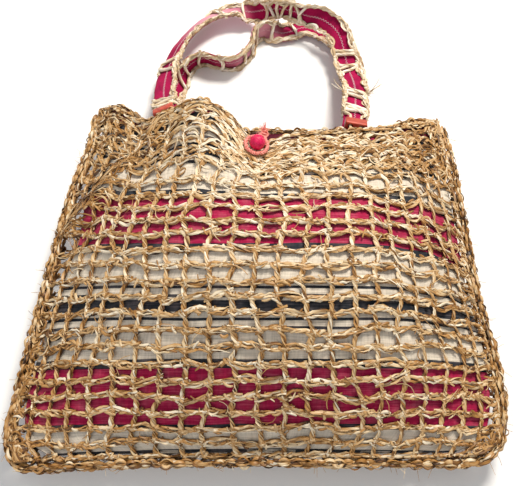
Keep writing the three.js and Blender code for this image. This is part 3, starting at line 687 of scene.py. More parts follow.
class Strands:
    """Strips gathered into one mesh. Three corners make a creased leaf strip, and more make a round yarn."""

    SIDE_WIDE = 1.6  # breadth of each side of a strip in its streak pattern

    def __init__(self, corners=3):
        self.corners = corners
        self.points = []
        self.sides = []
        self.caps = []
        self.strip = []
        self.tones = []
        self.count = 0

    def add(self, path, facing, wide, tone, turn=0.0, thick=RIBBON_THICK):
        """Adds strips: path and facing are arrays (strip, section, xyz), and the rest is given per section or
        once. facing is where the crease of an unturned strip looks."""
        count, sections = path.shape[:2]
        shape = (count, sections)
        wide, turn, thick, tone = (np.broadcast_to(v, shape)[..., None] for v in (wide, turn, thick, tone))
        along = unit(np.gradient(path, axis=1))
        facing = unit(facing - along * np.sum(facing * along, axis=-1, keepdims=True))
        side = np.cross(along, facing)
        flat = side * np.cos(turn) + facing * np.sin(turn)
        out = np.cross(flat, along)
        angles = np.pi / 2 + 2 * np.pi * np.arange(self.corners) / self.corners
        ring = [flat * wide / 2 * math.cos(a) + out * thick / 2 * math.sin(a) for a in angles]
        points = path[:, :, None, :] + np.stack(ring, axis=2)
        at = self.count + np.arange(count * sections * self.corners).reshape(count, sections, self.corners)
        following = np.roll(at, -1, axis=2)
        sides = np.stack([at[:, :-1], at[:, 1:], following[:, 1:], following[:, :-1]], axis=-1)
        steps = np.linalg.norm(np.diff(path, axis=1), axis=-1)
        length = np.concatenate([np.zeros((count, 1)), np.cumsum(steps, axis=1)], axis=1)
        length = length + rng.uniform(0, STREAK_SHIFT, (count, 1))
        start = np.broadcast_to(length[:, :-1, None], sides.shape[:3])
        end = np.broadcast_to(length[:, 1:, None], sides.shape[:3])
        low = np.broadcast_to(np.arange(self.corners) * self.SIDE_WIDE, sides.shape[:3])
        high = low + self.SIDE_WIDE
        uv = np.stack([start, low, end, low, end, high, start, high], axis=-1)
        # painted highlight on the crease and painted shade at the edges of each strip
        shade = np.where(np.arange(self.corners) == 0, *CREASE_SHADE)
        self.points.append(points.reshape(-1, 3))
        self.sides.append(sides.reshape(-1, 4))
        self.caps.append(np.concatenate([at[:, 0], at[:, -1, ::-1]]))
        self.strip.append(uv.reshape(-1, 2))
        self.tones.append((tone + shade).ravel())
        self.count += count * sections * self.corners

    def piece(self, name, material):
        points = np.concatenate(self.points)
        points[:, 2] = np.maximum(points[:, 2], FLOOR_CLEAR)
        caps = np.concatenate(self.caps)
        made = piece_from(name, points, [np.concatenate(self.sides), caps], material)
        add_uv(made, "strip", np.concatenate([*self.strip, np.zeros((caps.size, 2))]))
        tone = made.data.attributes.new("tone", "FLOAT", "POINT")
        tone.data.foreach_set("value", np.concatenate(self.tones).astype(np.float32))
        return made


def between(low, high, count):
    """Random values in a column, one for each of count strips."""
    return rng.uniform(low, high, (count, 1))


def around(middle, spread, count):
    return rng.normal(middle, spread, (count, 1))


# Net

def net_nodes(heights):
    """Places (u, t) of the crossings of stems and rows, which wander by some millimetres as in loose hand
    work."""
    u, t = np.meshgrid(np.linspace(-1, 1, NET_COLUMNS + 1), heights)
    inner = smoothstep(1 - np.abs(u), 0.0, 0.12)
    sway = 1.8 * np.sin(9 * t + 4.0 * u) + 1.4 * np.sin(21 * t - 7.0 * u + 1.3) + rng.normal(0, 1.7, u.shape)
    lift = 0.9 * np.sin(11 * u + 6.0 * t) + rng.normal(0, 1.25, u.shape)
    inside = smoothstep(t, 0.0, 0.06) * smoothstep(1 - t, 0.0, 0.06)
    return u + inner * sway / PANEL_HALF, t + inside * lift / PANEL_HIGH


def strand_tone(u, t):
    """Lightness of strips: painted light under the mouth; darker, more golden at the bottom, the sides and
    the left fold.
    """
    edge = smoothstep(np.abs(u), 0.60, 0.97)
    band = bell(u - 0.80, 0.09) * smoothstep(t, 0.2, 0.45)
    fold = bell(u + 0.75 - 0.9 * (t - 0.8), 0.14) * smoothstep(t, 0.5, 0.65)
    # painted light: strips under the mouth are lighter where light falls on the crown
    crown = smoothstep(t, 0.66, 0.8) * bell(u + 0.1, 0.3)
    golden = 0.06 * smoothstep(-u, 0.6, 0.95) + 0.07 * (1 - smoothstep(t, 0.25, 0.6))
    mean = MEAN_TONE + 0.12 * crown - 0.09 * edge - 0.14 * band - 0.08 * fold - golden
    # painted shade: a few strips at random are much darker, standing in for shadow lines among the strips
    shadow_strips = SHADOW_STRIP_DEPTH * (rng.random(np.shape(u)) < SHADOW_STRIP_SHARE)
    return np.clip(mean - shadow_strips + rng.normal(0, TONE_SPREAD, np.shape(u)), *TONE_LIMITS)


def tightness(t):
    """Share to which the rows at a height are the tight ones under the mouth."""
    return smoothstep(t, TIGHT_FROM - 0.03, TIGHT_FROM + 0.04)


def lay_rows(bundle, panel, u, t, ribbons):
    """Bars of each row, from stem to stem: two yarns of twisted strips that part between the stems."""
    share = np.linspace(-BAR_OVERLAP, 1 + BAR_OVERLAP, 8)
    start_u, end_u = u[:, :-1].reshape(-1, 1), u[:, 1:].reshape(-1, 1)
    start_t, end_t = t[:, :-1].reshape(-1, 1), t[:, 1:].reshape(-1, 1)
    bars = len(start_u)
    middle = np.sin(np.pi * np.clip(share, 0, 1))
    tight = tightness(start_t)
    parted = rng.random((bars, 1)) < PARTED_SHARE
    gap = (between(0.0, 0.6, bars) + between(0.5, 1.2, bars) * parted) * (1 - 0.55 * tight)
    hang = -0.4 - 2.0 * smoothstep(start_u, 0.35, 0.75) * smoothstep(start_t, 0.3, 0.6)
    bow = lerp(hang, TIGHT_ARCH, tight) + around(0, 0.9, bars)
    drift = bow * middle + around(1.2, 2.4, bars) * (share - 0.5)
    crossing = np.where(rng.random((bars, 1)) < CROSSED_SHARE, np.cos(np.pi * share), 1.0)
    for yarn in (-1, 1):
        centre = yarn * (1.0 + gap * middle) * crossing + drift
        phase = between(0, 2 * np.pi, bars)
        twist = between(0.4, 1.3, bars) * rng.choice([-1, 1], (bars, 1)) * np.pi
        for ribbon in range(ribbons):
            angle = phase + 2 * np.pi * ribbon / ribbons + twist * share
            up = centre + between(0.6, 1.1, bars) * np.cos(angle) + rng.normal(0, 0.36, angle.shape)
            outside = 0.6 + between(0.5, 0.9, bars) * np.sin(angle) + rng.normal(0, 0.25, angle.shape)
            place, normal = creased_point(
                panel, lerp(start_u, end_u, share), lerp(start_t, end_t, share) + up / PANEL_HIGH, outside,
            )
            wide = between(1.6, 3.3, bars) * (0.7 + 0.3 * middle)
            turn = 0.9 * np.cos(angle) + around(0, 0.35, bars) + rng.normal(0, 0.3, angle.shape)
            # painted shade on strips deep in the yarn and painted light on those at its outside
            lightness = strand_tone(start_u, start_t) + DEEP_SHADE * np.sin(angle)
            bundle.add(place, normal, wide, lightness, turn)


def lay_splints(bundle, u, t):
    """Short ends and turns of strips that lie aslant over each bar of the front."""
    share = np.linspace(-0.5, 0.5, 5)
    bar_u = ((u[:, :-1] + u[:, 1:]) / 2).reshape(-1, 1)
    bar_t = ((t[:, :-1] + t[:, 1:]) / 2).reshape(-1, 1)
    bars = len(bar_u)
    arch = 1 - 4 * share**2
    for _ in range(2):
        long = between(4, 9, bars)
        slant = around(0.0, 0.5, bars)
        across = around(0, 3.6, bars) + long * share * np.cos(slant)
        up = around(-0.2, 1.0, bars) + long * share * np.sin(slant) + around(0, 0.8, bars) * arch
        outside = 1.2 + 0.6 * arch + rng.normal(0, 0.1, up.shape)
        place_u = np.clip(bar_u + across / PANEL_HALF, -1, 1)
        place, normal = creased_point("front", place_u, np.clip(bar_t + up / PANEL_HIGH, 0, 1.01), outside)
        wide = between(1.5, 3.0, bars) * (1 - 1.2 * share**2)
        # painted light on these strips that lie on top, and painted shade towards their ends where they dive
        # in
        lightness = strand_tone(bar_u, bar_t) + 0.1 - 0.5 * share**2
        bundle.add(place, normal, wide, lightness, around(0, 0.5, bars))


def lay_stems(bundle, panel, u, t, plain):
    """Posts of each stem: strips that cross and part at the top into the bars beside the stem, and plain
    strips between them."""
    share = np.linspace(-STEM_OVERLAP, 1 + STEM_OVERLAP, 8)
    low_u, high_u = u[:-1].reshape(-1, 1), u[1:].reshape(-1, 1)
    low_t, high_t = t[:-1].reshape(-1, 1), t[1:].reshape(-1, 1)
    posts = len(low_u)
    tight = tightness(low_t)
    strips = [(-1, True), (1, True)] + [(-1, False), (1, False)] * plain
    for side, armed in strips:
        arm = smoothstep(share, 0.5, 1.1) * between(1.8, 4.2, posts) * (1 - 0.3 * tight) if armed else 0.0
        plait = between(0.8, 1.5, posts) * np.cos(np.pi * (1.7 * share + 0.15 + 0.5 * (not armed)))
        across = side * (plait + arm) + rng.normal(0, 0.2, (posts, len(share)))
        outside = 0.6 + 0.8 * side * np.sin(1.7 * np.pi * share + 1.6 * (not armed))
        place, normal = creased_point(
            panel, lerp(low_u, high_u, share) + across / PANEL_HALF, lerp(low_t, high_t, share),
            outside + rng.normal(0, 0.1, (posts, len(share))),
        )
        wide = between(1.9, 3.4, posts) if armed else between(1.4, 2.4, posts)
        turn = around(-0.5 * side, 0.4, posts) + around(0, 0.9, posts) * (share - 0.5)
        # painted shade on strips that lie deeper and painted light on those that stand out
        lightness = strand_tone(low_u, low_t) + DEEP_SHADE * (outside - 0.6)
        bundle.add(place, normal, wide, lightness, turn)


def lay_knots(bundle, panel, u, t, strips):
    """Loops of the stitches: short strips laid aslant over each crossing."""
    share = np.linspace(-1, 1, 6)
    knot_u, knot_t = u.reshape(-1, 1), t.reshape(-1, 1)
    knots = len(knot_u)
    for strip in range(strips):
        lean = between(0.2, 1.2, knots) * (1 if strip % 2 else -1)
        reach = between(2.0, 4.4, knots)
        across = reach * np.cos(lean) * share + around(0, 0.9, knots)
        up = reach * np.sin(lean) * share + around(0, 0.8, knots)
        outside = 0.2 + between(0.9, 1.7, knots) * (1 - share**2)
        place, normal = creased_point(
            panel, knot_u + across / PANEL_HALF, np.clip(knot_t + up / PANEL_HIGH, 0.0, 1.012), outside,
        )
        wide = between(1.6, 3.3, knots) * (1 - 0.35 * share**2)
        # painted light in the middle where the loop stands out, and painted shade at its ends
        lightness = strand_tone(knot_u, knot_t) + 0.08 - 0.3 * share**2
        bundle.add(place, normal, wide, lightness, around(0, 0.45, knots))


def lay_scattered(bundle, u, t, slant, long, outside, wide, bend):
    """Loose strips on the front panel about places (u, t): slant is each strip's angle to the rows."""
    share = np.linspace(-0.5, 0.5, 6)
    count = len(u)
    bow = around(0, bend, count) * long * (0.25 - share**2) * 4
    across = long * share * np.cos(slant) - bow * np.sin(slant)
    up = long * share * np.sin(slant) + bow * np.cos(slant)
    arch = outside + 0.5 * (1 - 4 * share**2) + rng.normal(0, 0.1, (count, len(share)))
    place_t = np.clip(t + up / PANEL_HIGH, 0.0, 1.015)
    place, normal = creased_point("front", np.clip(u + across / PANEL_HALF, -1.015, 1.015), place_t, arch)
    taper = 1 - 1.6 * share**2
    # painted light on strips that lie further out, and painted shade on deeper ones and towards their ends
    lightness = strand_tone(u, t) + 0.09 * np.clip(outside - 0.5, -1.5, 1.0) - 0.4 * share**2
    bundle.add(place, normal, wide * taper, lightness, around(0, 0.6, count))


def crowding(u):
    """Share of the crowded stitches that are worked: few where the lining shows, left and far right."""
    right = 0.42 * smoothstep(u, -0.35, 0.05) * (1 - 0.7 * bell(u - 0.56, 0.16))
    hump = 0.16 * bell(u + 0.27, 0.11)
    return 0.28 + right - hump - 0.2 * smoothstep(u, 0.62, 0.75) + 0.05 * smoothstep(-u, 0.74, 0.9)


def lay_tight_stitches(bundle, u, t):
    """Legs of the crowded stitches under the mouth, and the strips that fill between them. The strips thin
    out downwards, and reach further down at the left."""
    share = np.linspace(0, 1, 5)
    middle_u = ((u[:-1, :-1] + u[:-1, 1:]) / 2).reshape(-1, 1)
    cell = 1.0 / NET_COLUMNS
    low_t, high_t = t[:-1, :-1].reshape(-1, 1), t[1:, :-1].reshape(-1, 1)
    kept = (rng.random(middle_u.shape) < crowding(middle_u))[:, 0]
    middle_u, low_t, high_t = middle_u[kept], low_t[kept], high_t[kept]
    legs = len(middle_u)
    for side in (-1, 1):
        for _ in range(2):
            foot = side * between(-0.6, 0.25, legs) * cell
            head = side * between(0.5, 1.5, legs) * cell
            rise = between(0.5, 1.1, legs)
            outside = 0.4 + 0.8 * np.sin(np.pi * share) + rng.normal(0, 0.15, (legs, len(share)))
            place_t = np.clip(lerp(low_t, high_t, lerp(-0.1, rise, share)), 0.0, 1.012)
            place, normal = creased_point("front", middle_u + lerp(foot, head, share), place_t, outside)
            wide = between(1.7, 3.4, legs)
            # painted light where the leg arches out, and painted shade at its ends
            lightness = strand_tone(middle_u, low_t) + 0.1 * np.sin(np.pi * share) - 0.06
            bundle.add(place, normal, wide, lightness, around(0.4 * side, 0.4, legs))
    fill_u = between(-0.98, 0.98, FILL_STRIPS)
    fill_t = between(0.60, 1.0, FILL_STRIPS)
    begins = FILL_FROM - FILL_LOWER * smoothstep(-fill_u, 0.6, 0.9)
    loose_rim = 1 - 0.6 * smoothstep(fill_t, 0.955, 0.985)
    wanted = smoothstep(fill_t, begins - 0.03, begins + 0.07) * crowding(fill_u) * loose_rim
    kept = (rng.random((FILL_STRIPS, 1)) < wanted)[:, 0]
    fill_u, fill_t = fill_u[kept], fill_t[kept]
    count = len(fill_u)
    column_place = (fill_u + 1) / 2 * NET_COLUMNS
    from_stem = column_place - np.round(column_place)
    slant = np.sign(from_stem) * between(0.1, 0.9, count) + around(0, 0.25, count)
    long, outside, wide = between(5, 10.5, count), around(0.3, 0.6, count), between(1.8, 3.6, count)
    lay_scattered(bundle, fill_u, fill_t, slant, long, outside, wide, bend=0.22)


def lay_fold_strips(bundle):
    """Long strips bunched along the fold at the left, and stray ends that lie over the net."""
    count = FOLD_STRIPS
    start, end = np.array(LEFT_FOLD["start"]), np.array(LEFT_FOLD["end"])
    run = (end - start) * (PANEL_HALF, PANEL_HIGH)
    share = between(0.0, 1.0, count)
    aside = around(0, 6.5, count)
    away = np.array([-run[1], run[0]]) / np.linalg.norm(run)
    u = start[0] + share * (end[0] - start[0]) + aside * away[0] / PANEL_HALF
    t = start[1] + share * (end[1] - start[1]) + aside * away[1] / PANEL_HIGH
    slant = math.atan2(-run[1], -run[0]) + around(-0.25, 0.4, count)
    long, outside, wide = between(10, 26, count), between(0.6, 2.4, count), between(1.3, 2.7, count)
    lay_scattered(bundle, u, t, slant, long, outside, wide, bend=0.2)
    strays = STRAY_STRIPS
    u, t = between(-0.95, 0.95, strays), between(0.04, 0.97, strays)
    slant = around(0, 0.5, strays) + np.pi / 2 * (rng.random((strays, 1)) < 0.4)
    long, outside, wide = between(9, 20, strays), between(1.2, 2.2, strays), between(0.6, 1.1, strays)
    lay_scattered(bundle, u, t, slant, long, outside, wide, bend=0.2)


def lay_edge_knots(bundle):
    """Fastened ends along both side edges, and clusters of them at the corners: most at the bottom left."""
    for side, count, top in EDGE_KNOTS:
        u = side * (1 - np.abs(around(0.0, 0.028, count)))
        t = between(0.03, top, count)
        slant = around(0, 0.8, count)
        long, outside, wide = between(5, 11, count), between(0.2, 2.4, count), between(1.3, 2.6, count)
        lay_scattered(bundle, u, t, slant, long, outside, wide, bend=0.3)
    for side, height, count in CORNER_KNOTS:
        u = side * (1 - np.abs(around(0.0, 0.04, count)))
        t = np.abs(height - np.abs(around(0.0, 0.03, count)))
        slant = between(0, np.pi, count)
        long, outside, wide = between(6, 14, count), between(0.5, 3.4, count), between(1.3, 2.6, count)
        lay_scattered(bundle, u, t, slant, long, outside, wide, bend=0.3)


# Chains along an edge

def along_edge(edge, wanted):
    """Points of an edge and its directions outward and upward, at lengths along it."""
    spots, *values = edge
    return (at_spots(value, spots, wanted) for value in values)


def lay_chain(bundle, edge, pitch, radius, bulge, directions, tone):
    """Crochet stitches along an edge: pairs of strips that lean apart and close again, on several sides."""
    spots = edge[0]
    share = np.linspace(0, 1, 7)
    last = spots[-1] - 1.6 * pitch
    starts = np.arange(0, last, pitch)
    count = len(starts)
    swell = np.sin(np.pi * share)
    for direction in directions:
        shift = rng.uniform(0, pitch)
        for lean in (-1, 1):
            for _ in range(2):
                begin = np.minimum(starts + shift + rng.normal(0, 0.2 * pitch, count), last)
                wanted = begin[:, None] + between(0.9, 1.6, count) * pitch * share
                base, out, up = along_edge(edge, wanted)
                spread = lean * between(15, 50, count) * swell**0.8 + around(0, 16, count)
                angle = np.radians(direction + spread)[..., None]
                reach = radius + bulge * swell * between(0.3, 1.9, count) + around(0, 0.6, count)
                facing = out * np.cos(angle) + up * np.sin(angle)
                wide = between(1.7, 3.6, count) * (0.6 + 0.4 * swell)
                # painted light where the strip bulges out, and painted shade where it dives into the edge
                lightness = around(tone, 0.22, count) + 0.36 * swell - 0.3
                bundle.add(base + facing * reach[..., None], facing, wide, lightness, around(0, 0.5, count))


def lay_picots(bundle, edge, pitch, reach):
    """Small loops that stand out along an edge."""
    spots = edge[0]
    share = np.linspace(0, 1, 7)
    count = int(spots[-1] / pitch) - 2
    starts = np.sort(rng.uniform(0, spots[-1] - 1.5 * pitch, count))
    for _ in range(3):
        wanted = starts[:, None] + around(0, 0.9, count) + pitch * lerp(-0.1, 1.1, share)
        stands = between(0.15, 1.2, count) * reach * np.sin(np.pi * share) ** 0.7
        lean = around(0, 1.0, count) * np.sin(np.pi * share)
        base, out, up = along_edge(edge, wanted)
        place = base + out * stands[..., None] + up * (lean + 0.4)[..., None]
        lightness = np.clip(around(0.6, 0.2, count), *LOOSE_TONE_LIMITS)
        bundle.add(place, up, between(1.5, 2.8, count), lightness, around(0, 0.5, count))


def lay_fibres(bundle, roots, drift, long, count, wide):
    """Loose ends that stand out of the given points, mostly along drift."""
    share = np.linspace(0, 1, 6)
    root = roots[rng.integers(0, len(roots), count)][:, None, :]
    away = unit(rng.normal(0, 0.6, (count, 3)) + drift)[:, None, :]
    curl = unit(rng.normal(0, 1, (count, 3)))[:, None, :]
    reach = long * rng.uniform(0.35, 1.0, (count, 1, 1))
    path = root + away * reach * share[None, :, None] + curl * 0.3 * reach * (share**2)[None, :, None]
    facing = np.broadcast_to(curl, path.shape)
    lightness = np.clip(around(0.62, 0.2, count), *LOOSE_TONE_LIMITS)
    bundle.add(path, facing, wide * (1 - 0.6 * share), lightness, thick=0.35)


def rim_chain(bundle, panel):
    """Chain and picots along the mouth's edge of a panel."""
    rim = RIMS[panel]
    u = np.linspace(-RIM_HALF, RIM_HALF, RIM_STEPS)
    top = rim["top"] * (back_share(u) if panel == "back" else np.ones(len(u)))
    lip, normal = creased_point(panel, u, top, rim["outside"])
    below, _ = creased_point(panel, u, top - 0.03, rim["outside"])
    path, spots = resampled(lip, RIM_POINTS)
    wide_spots = np.linspace(0, spots[-1], len(u))
    outward = unit(at_spots(unit(lip - below), wide_spots, spots))
    upward = unit(at_spots(normal, wide_spots, spots))
    edge = (spots, path, outward, upward)
    lay_chain(bundle, edge, **RIM_CHAIN)
    lay_picots(bundle, edge, RIM_PICOT_PITCH, rim["reach"])


def make_front_net():
    """The front panel's net as three meshes: rows, stems with their knots, and the crowded stitches."""
    open_heights = np.linspace(0.0, TIGHT_FROM, OPEN_ROWS + 1)
    tight_heights = np.linspace(TIGHT_FROM, 1.0, TIGHT_ROWS + 1)
    u, t = net_nodes(np.concatenate([open_heights, tight_heights[1:]]))
    rows, stems, stitches = Strands(), Strands(), Strands()
    lay_rows(rows, "front", u[:OPEN_ROWS], t[:OPEN_ROWS], ribbons=3)
    lay_rows(rows, "front", u[OPEN_ROWS:], t[OPEN_ROWS:], ribbons=2)
    lay_stems(stems, "front", u, t, plain=1)
    lay_knots(stems, "front", u[:OPEN_ROWS], t[:OPEN_ROWS], strips=3)
    lay_knots(stems, "front", u[OPEN_ROWS:], t[OPEN_ROWS:], strips=1)
    lay_splints(rows, u[:OPEN_ROWS], t[:OPEN_ROWS])
    lay_tight_stitches(stitches, u[OPEN_ROWS:], t[OPEN_ROWS:])
    lay_fold_strips(stitches)
    lay_edge_knots(stitches)
    rim_chain(stitches, "front")
    return rows, stems, stitches


def make_back_net():
    u, t = net_nodes(np.linspace(0.0, 1.0, BACK_ROWS + 1))
    t = t * back_share(u)
    rows, stems = Strands(), Strands()
    lay_rows(rows, "back", u, t, ribbons=1)
    lay_stems(stems, "back", u, t, plain=0)
    lay_knots(stems, "back", u, t, strips=1)
    rim_chain(stems, "back")
    return rows, stems


def seam_path(count):
    """Middle of the chain: down the left side, along the bottom and up the right side, outside the panels."""
    side = np.linspace(1.0, 0.0, 60)
    bottom = np.linspace(-1.0, 1.0, 70)[1:-1]
    u = np.concatenate([-np.ones(len(side)), bottom, np.ones(len(side))])
    t = np.concatenate([side, np.zeros(len(bottom)), side[::-1]])
    edge = (front_middle(u, t) + back_middle(u, t)) / 2
    along = np.gradient(edge, axis=0)
    along[:, 2] = 0
    along = unit(along)
    path = edge + SEAM_OUT * np.stack([along[:, 1], -along[:, 0], 0 * along[:, 0]], axis=-1)
    return resampled(smoothed(path, 3), count)


def make_seam():
    """Chain that joins both panels, with loose ends along it."""
    chain = Strands()
    path, spots = seam_path(SEAM_POINTS)
    along = unit(np.gradient(path, axis=0))
    outward = unit(np.cross(along, [0.0, 0.0, 1.0]))
    upward = np.cross(outward, along)
    edge = (spots, path, outward, upward)
    lay_chain(chain, edge, **SEAM_CHAIN)
    lay_picots(chain, edge, **SEAM_PICOTS)
    for begin in range(0, SEAM_POINTS, SEAM_FRAY):
        stretch = slice(begin, begin + SEAM_FRAY)
        roots = path[stretch] + 2.5 * outward[stretch]
        lay_fibres(chain, roots, outward[begin] + [0, 0, 0.3], long=9.0, count=7, wide=0.5)
    return chain.piece("seam_chain", RAFFIA_NET)


# Lining

def lining_points(layer, columns, heights):
    """Rings of the pouch's outer (0) or inner (1) face: across the front, then back along the back."""
    rings = []
    for row, height in enumerate(heights):
        up = height + (layer * LINING_THICK / PANEL_HIGH if row == 0 else 0.0)
        reach = float(column(SIDES, "lining", np.array(up))) + LINING_WIDER
        reach -= layer * LINING_THICK / PANEL_HALF
        drawn_in = bell(up - LINING_DRAWN_IN["t"], LINING_DRAWN_IN["width"])
        left = reach - LINING_DRAWN_IN["share"] * drawn_in
        u = np.linspace(-left, reach, columns)
        crease = 0.5 * np.sin(31 * u + 9 * up) * np.sin(17 * up + 5 * u) + 0.35 * np.sin(70 * u * up + 3)
        crumple = 1.1 * np.sin(23 * u + 60 * up) * smoothstep(up, 0.74, 0.85) * smoothstep(-u, 0.0, 0.4)
        ease = smoothstep(1 - np.abs(u) / np.where(u < 0, left, reach), 0.0, 0.15) * smoothstep(up, 0.02, 0.1)
        inside = -(NET_THICK / 2 + lerp(LINING_CLOSEST, LINING_CLOSE, ease) + layer * LINING_THICK)
        pressed = inside + (crease + crumple + relief(u, np.full(columns, up))) * ease
        front = panel_point("front", u, up, pressed)
        back = panel_point("back", u[::-1], up * back_share(u[::-1]), inside[::-1])
        rings.append(np.concatenate([front, back]))
    return np.stack(rings)


def make_lining():
    """Sewn pouch of two thin faces that meet at the lip."""
    columns = rows = LINING_GRID
    heights = np.linspace(LINING_BOTTOM, LINING_TOP, rows)
    points = np.concatenate([lining_points(layer, columns, heights).reshape(-1, 3) for layer in (0, 1)])
    ring = 2 * columns
    at = np.arange(2 * rows * ring).reshape(2, rows, ring)
    spread = np.concatenate([np.linspace(-1, 1, columns), np.linspace(1, -1, columns)]) * PANEL_HALF
    outer = np.stack(np.broadcast_arrays(spread[None, :], heights[:, None] * PANEL_HIGH), axis=-1)
    outer = outer.reshape(-1, 2)
    # the inner face's stripes are shifted up by the facing's depth, so that inside the mouth it shows the
    # darker crimson of painted shade
    places = np.concatenate([outer, outer + (0.0, FACING_DEEP)])
    faces = []
    fold = np.arange(columns - 1)
    for layer, grid in enumerate(at):
        beside = np.roll(grid, -1, axis=1)
        wall = np.stack([grid[:-1], beside[:-1], beside[1:], grid[1:]], axis=-1).reshape(-1, 4)
        low = grid[0]
        bottom = np.stack([low[fold + 1], low[fold], low[ring - 1 - fold], low[ring - 2 - fold]], axis=-1)
        both = np.concatenate([wall, bottom])
        faces.append(both[:, ::-1] if layer else both)
    lip = [at[0, -1], np.roll(at[0, -1], -1), np.roll(at[1, -1], -1), at[1, -1]]
    faces = np.concatenate([*faces, np.stack(lip, axis=-1)])
    piece = piece_from("lining_pouch", points, [faces], LINING_COTTON, smooth_angle=60)
    add_uv(piece, "cloth", places[faces].reshape(-1, 2))
    return piece


# Handles

def strap_sides(along):
    """Directions beside and above a strap that runs along a direction."""
    right = unit(np.cross(along, [0.0, 0.0, 1.0]))
    return right, np.cross(right, along)


def handle_route(handle):
    """Points along a strap's middle with their lengths and turns, and where it leaves the mouth."""
    panel = handle["panel"]
    inside = -(NET_THICK / 2 + LINING_CLEAR + CAD_LINING_THICK + handle["tuck_clear"] + STRAP_THICK / 2)
    left_foot, right_foot = (
        [panel_point(panel, handle[side], t, inside) for t in (STRAP_TUCK, STRAP_EXIT)]
        for side in ("left_foot", "right_foot")
    )
    rows = [np.array([row["x"], row["y"], row["z"]], float) for row in handle["route"]]
    points = np.array([*left_foot, *rows, *right_foot[::-1]])

    def foot_stand(side, along):
        right, above = strap_sides(unit(along))
        normal = panel_normal(panel, np.array(handle[side]), np.array(1.0))
        normal = normal if panel == "front" else -normal
        return FOOT_EASE * math.degrees(math.atan2(normal @ right, normal @ above))

    left = foot_stand("left_foot", points[1] - points[0])
    right = foot_stand("right_foot", points[-1] - points[-2])
    stands = np.array([left, left, *[row["stand"] for row in handle["route"]], right, right])
    padded = np.concatenate([[2 * points[0] - points[1]], points, [2 * points[-1] - points[-2]]])
    share = np.arange(ROUTE_STEPS) / ROUTE_STEPS
    # Smooth curve through the points, each stretch weighed by the root of its length
    curve = []
    turns = []
    for row in range(len(points) - 1):
        p0, p1, p2, p3 = padded[row:row + 4]
        d0, d1, d2 = (math.sqrt(np.linalg.norm(b - a)) for a, b in ((p0, p1), (p1, p2), (p2, p3)))
        m1 = d1 * ((p1 - p0) / d0 - (p2 - p0) / (d0 + d1) + (p2 - p1) / d1)
        m2 = d1 * ((p2 - p1) / d1 - (p3 - p1) / (d1 + d2) + (p3 - p2) / d2)
        s = share[:, None]
        curve.append(p1 + m1 * s + (3 * (p2 - p1) - 2 * m1 - m2) * s**2 + (2 * (p1 - p2) + m1 + m2) * s**3)
        turns.append(lerp(stands[row], stands[row + 1], smoothstep(share, 0, 1)))
    curve = np.concatenate([*curve, points[-1:]])
    turns = np.concatenate([*turns, stands[-1:]])
    length = lengths_along(curve)
    return dict(
        points=curve, turns=np.radians(turns), length=length, long=length[-1],
        mouth_left=length[ROUTE_STEPS], mouth_right=length[-1 - ROUTE_STEPS],
    )


def strap_frame(route, lengths):
    """Points, directions along and across, and the face's direction at lengths along a strap."""
    point = at_spots(route["points"], route["length"], lengths)
    slope = np.gradient(route["points"], route["length"], axis=0)
    along = unit(at_spots(slope, route["length"], lengths))
    turn = np.interp(lengths, route["length"], route["turns"])[..., None]
    right, above = strap_sides(along)
    face = above * np.cos(turn) + right * np.sin(turn)
    return point, along, np.cross(along, face), face


def strap_place(route, lengths, across, above):
    """Points at distances across a strap and above its middle, with the face's direction there."""
    lengths, across, above = np.broadcast_arrays(lengths, across, above)
    point, _, side, face = strap_frame(route, lengths)
    return point + side * across[..., None] + face * above[..., None], face


def make_strap(name, route):
    """Folded cloth strap: rounded edges and a slightly uneven width."""
    sections = np.linspace(0, route["long"], STRAP_SECTIONS)
    corners = np.linspace(0, 2 * np.pi, STRAP_CORNERS, endpoint=False)
    round_in = np.sign(np.cos(corners)) * np.abs(np.cos(corners)) ** STRAP_EDGE_POWER
    swell = np.sign(np.sin(corners)) * np.abs(np.sin(corners)) ** STRAP_FACE_POWER
    uneven = 0.35 * np.sin(sections / 9.0) + 0.25 * np.sin(sections / 4.1 + 2)
    across = (STRAP_WIDE / 2 - 0.4 + uneven[:, None]) * round_in
    pucker = 0.18 * np.sin(sections / 2.6)[:, None] * np.cos(corners * 2)
    above = STRAP_THICK / 2 * swell + pucker
    points, _ = strap_place(route, sections[:, None], across, above)
    at = np.arange(points.shape[0] * points.shape[1]).reshape(points.shape[:2])
    beside = np.roll(at, -1, axis=1)
    sides = np.stack([at[:-1], at[1:], beside[1:], beside[:-1]], axis=-1).reshape(-1, 4)
    ends = np.stack([at[0], at[-1][::-1]])
    piece = piece_from(name, points.reshape(-1, 3), [sides, ends], STRAP_COTTON, smooth_angle=50)
    girth = np.cumsum(np.linalg.norm(np.diff(points, axis=1, append=points[:, :1]), axis=-1), axis=1)
    spots = np.stack([np.broadcast_to(sections[:, None], girth.shape), girth], axis=-1).reshape(-1, 2)
    add_uv(piece, "cloth", np.concatenate([spots[sides].reshape(-1, 2), spots[ends].reshape(-1, 2)]))
    return piece


def make_stitches(name, route):
    """Zigzag of white thread along the middle of a strap's face."""
    starts = np.arange(route["mouth_left"], route["mouth_right"], STITCH_PITCH)
    share = np.linspace(0, 1, 4)
    side = np.where(np.arange(len(starts)) % 2, 1.0, -1.0)[:, None]
    above = STRAP_THICK / 2 + 0.1 + 0.25 * np.sin(np.pi * share)
    across = STITCH_SWING * side * (2 * share - 1)
    path, face = strap_place(route, starts[:, None] + STITCH_PITCH * share, across, above)
    thread = Strands(4)
    thread.add(path, face, THREAD_WIDE, 0.5, thick=THREAD_THICK)
    return thread.piece(name, STITCH_THREAD)


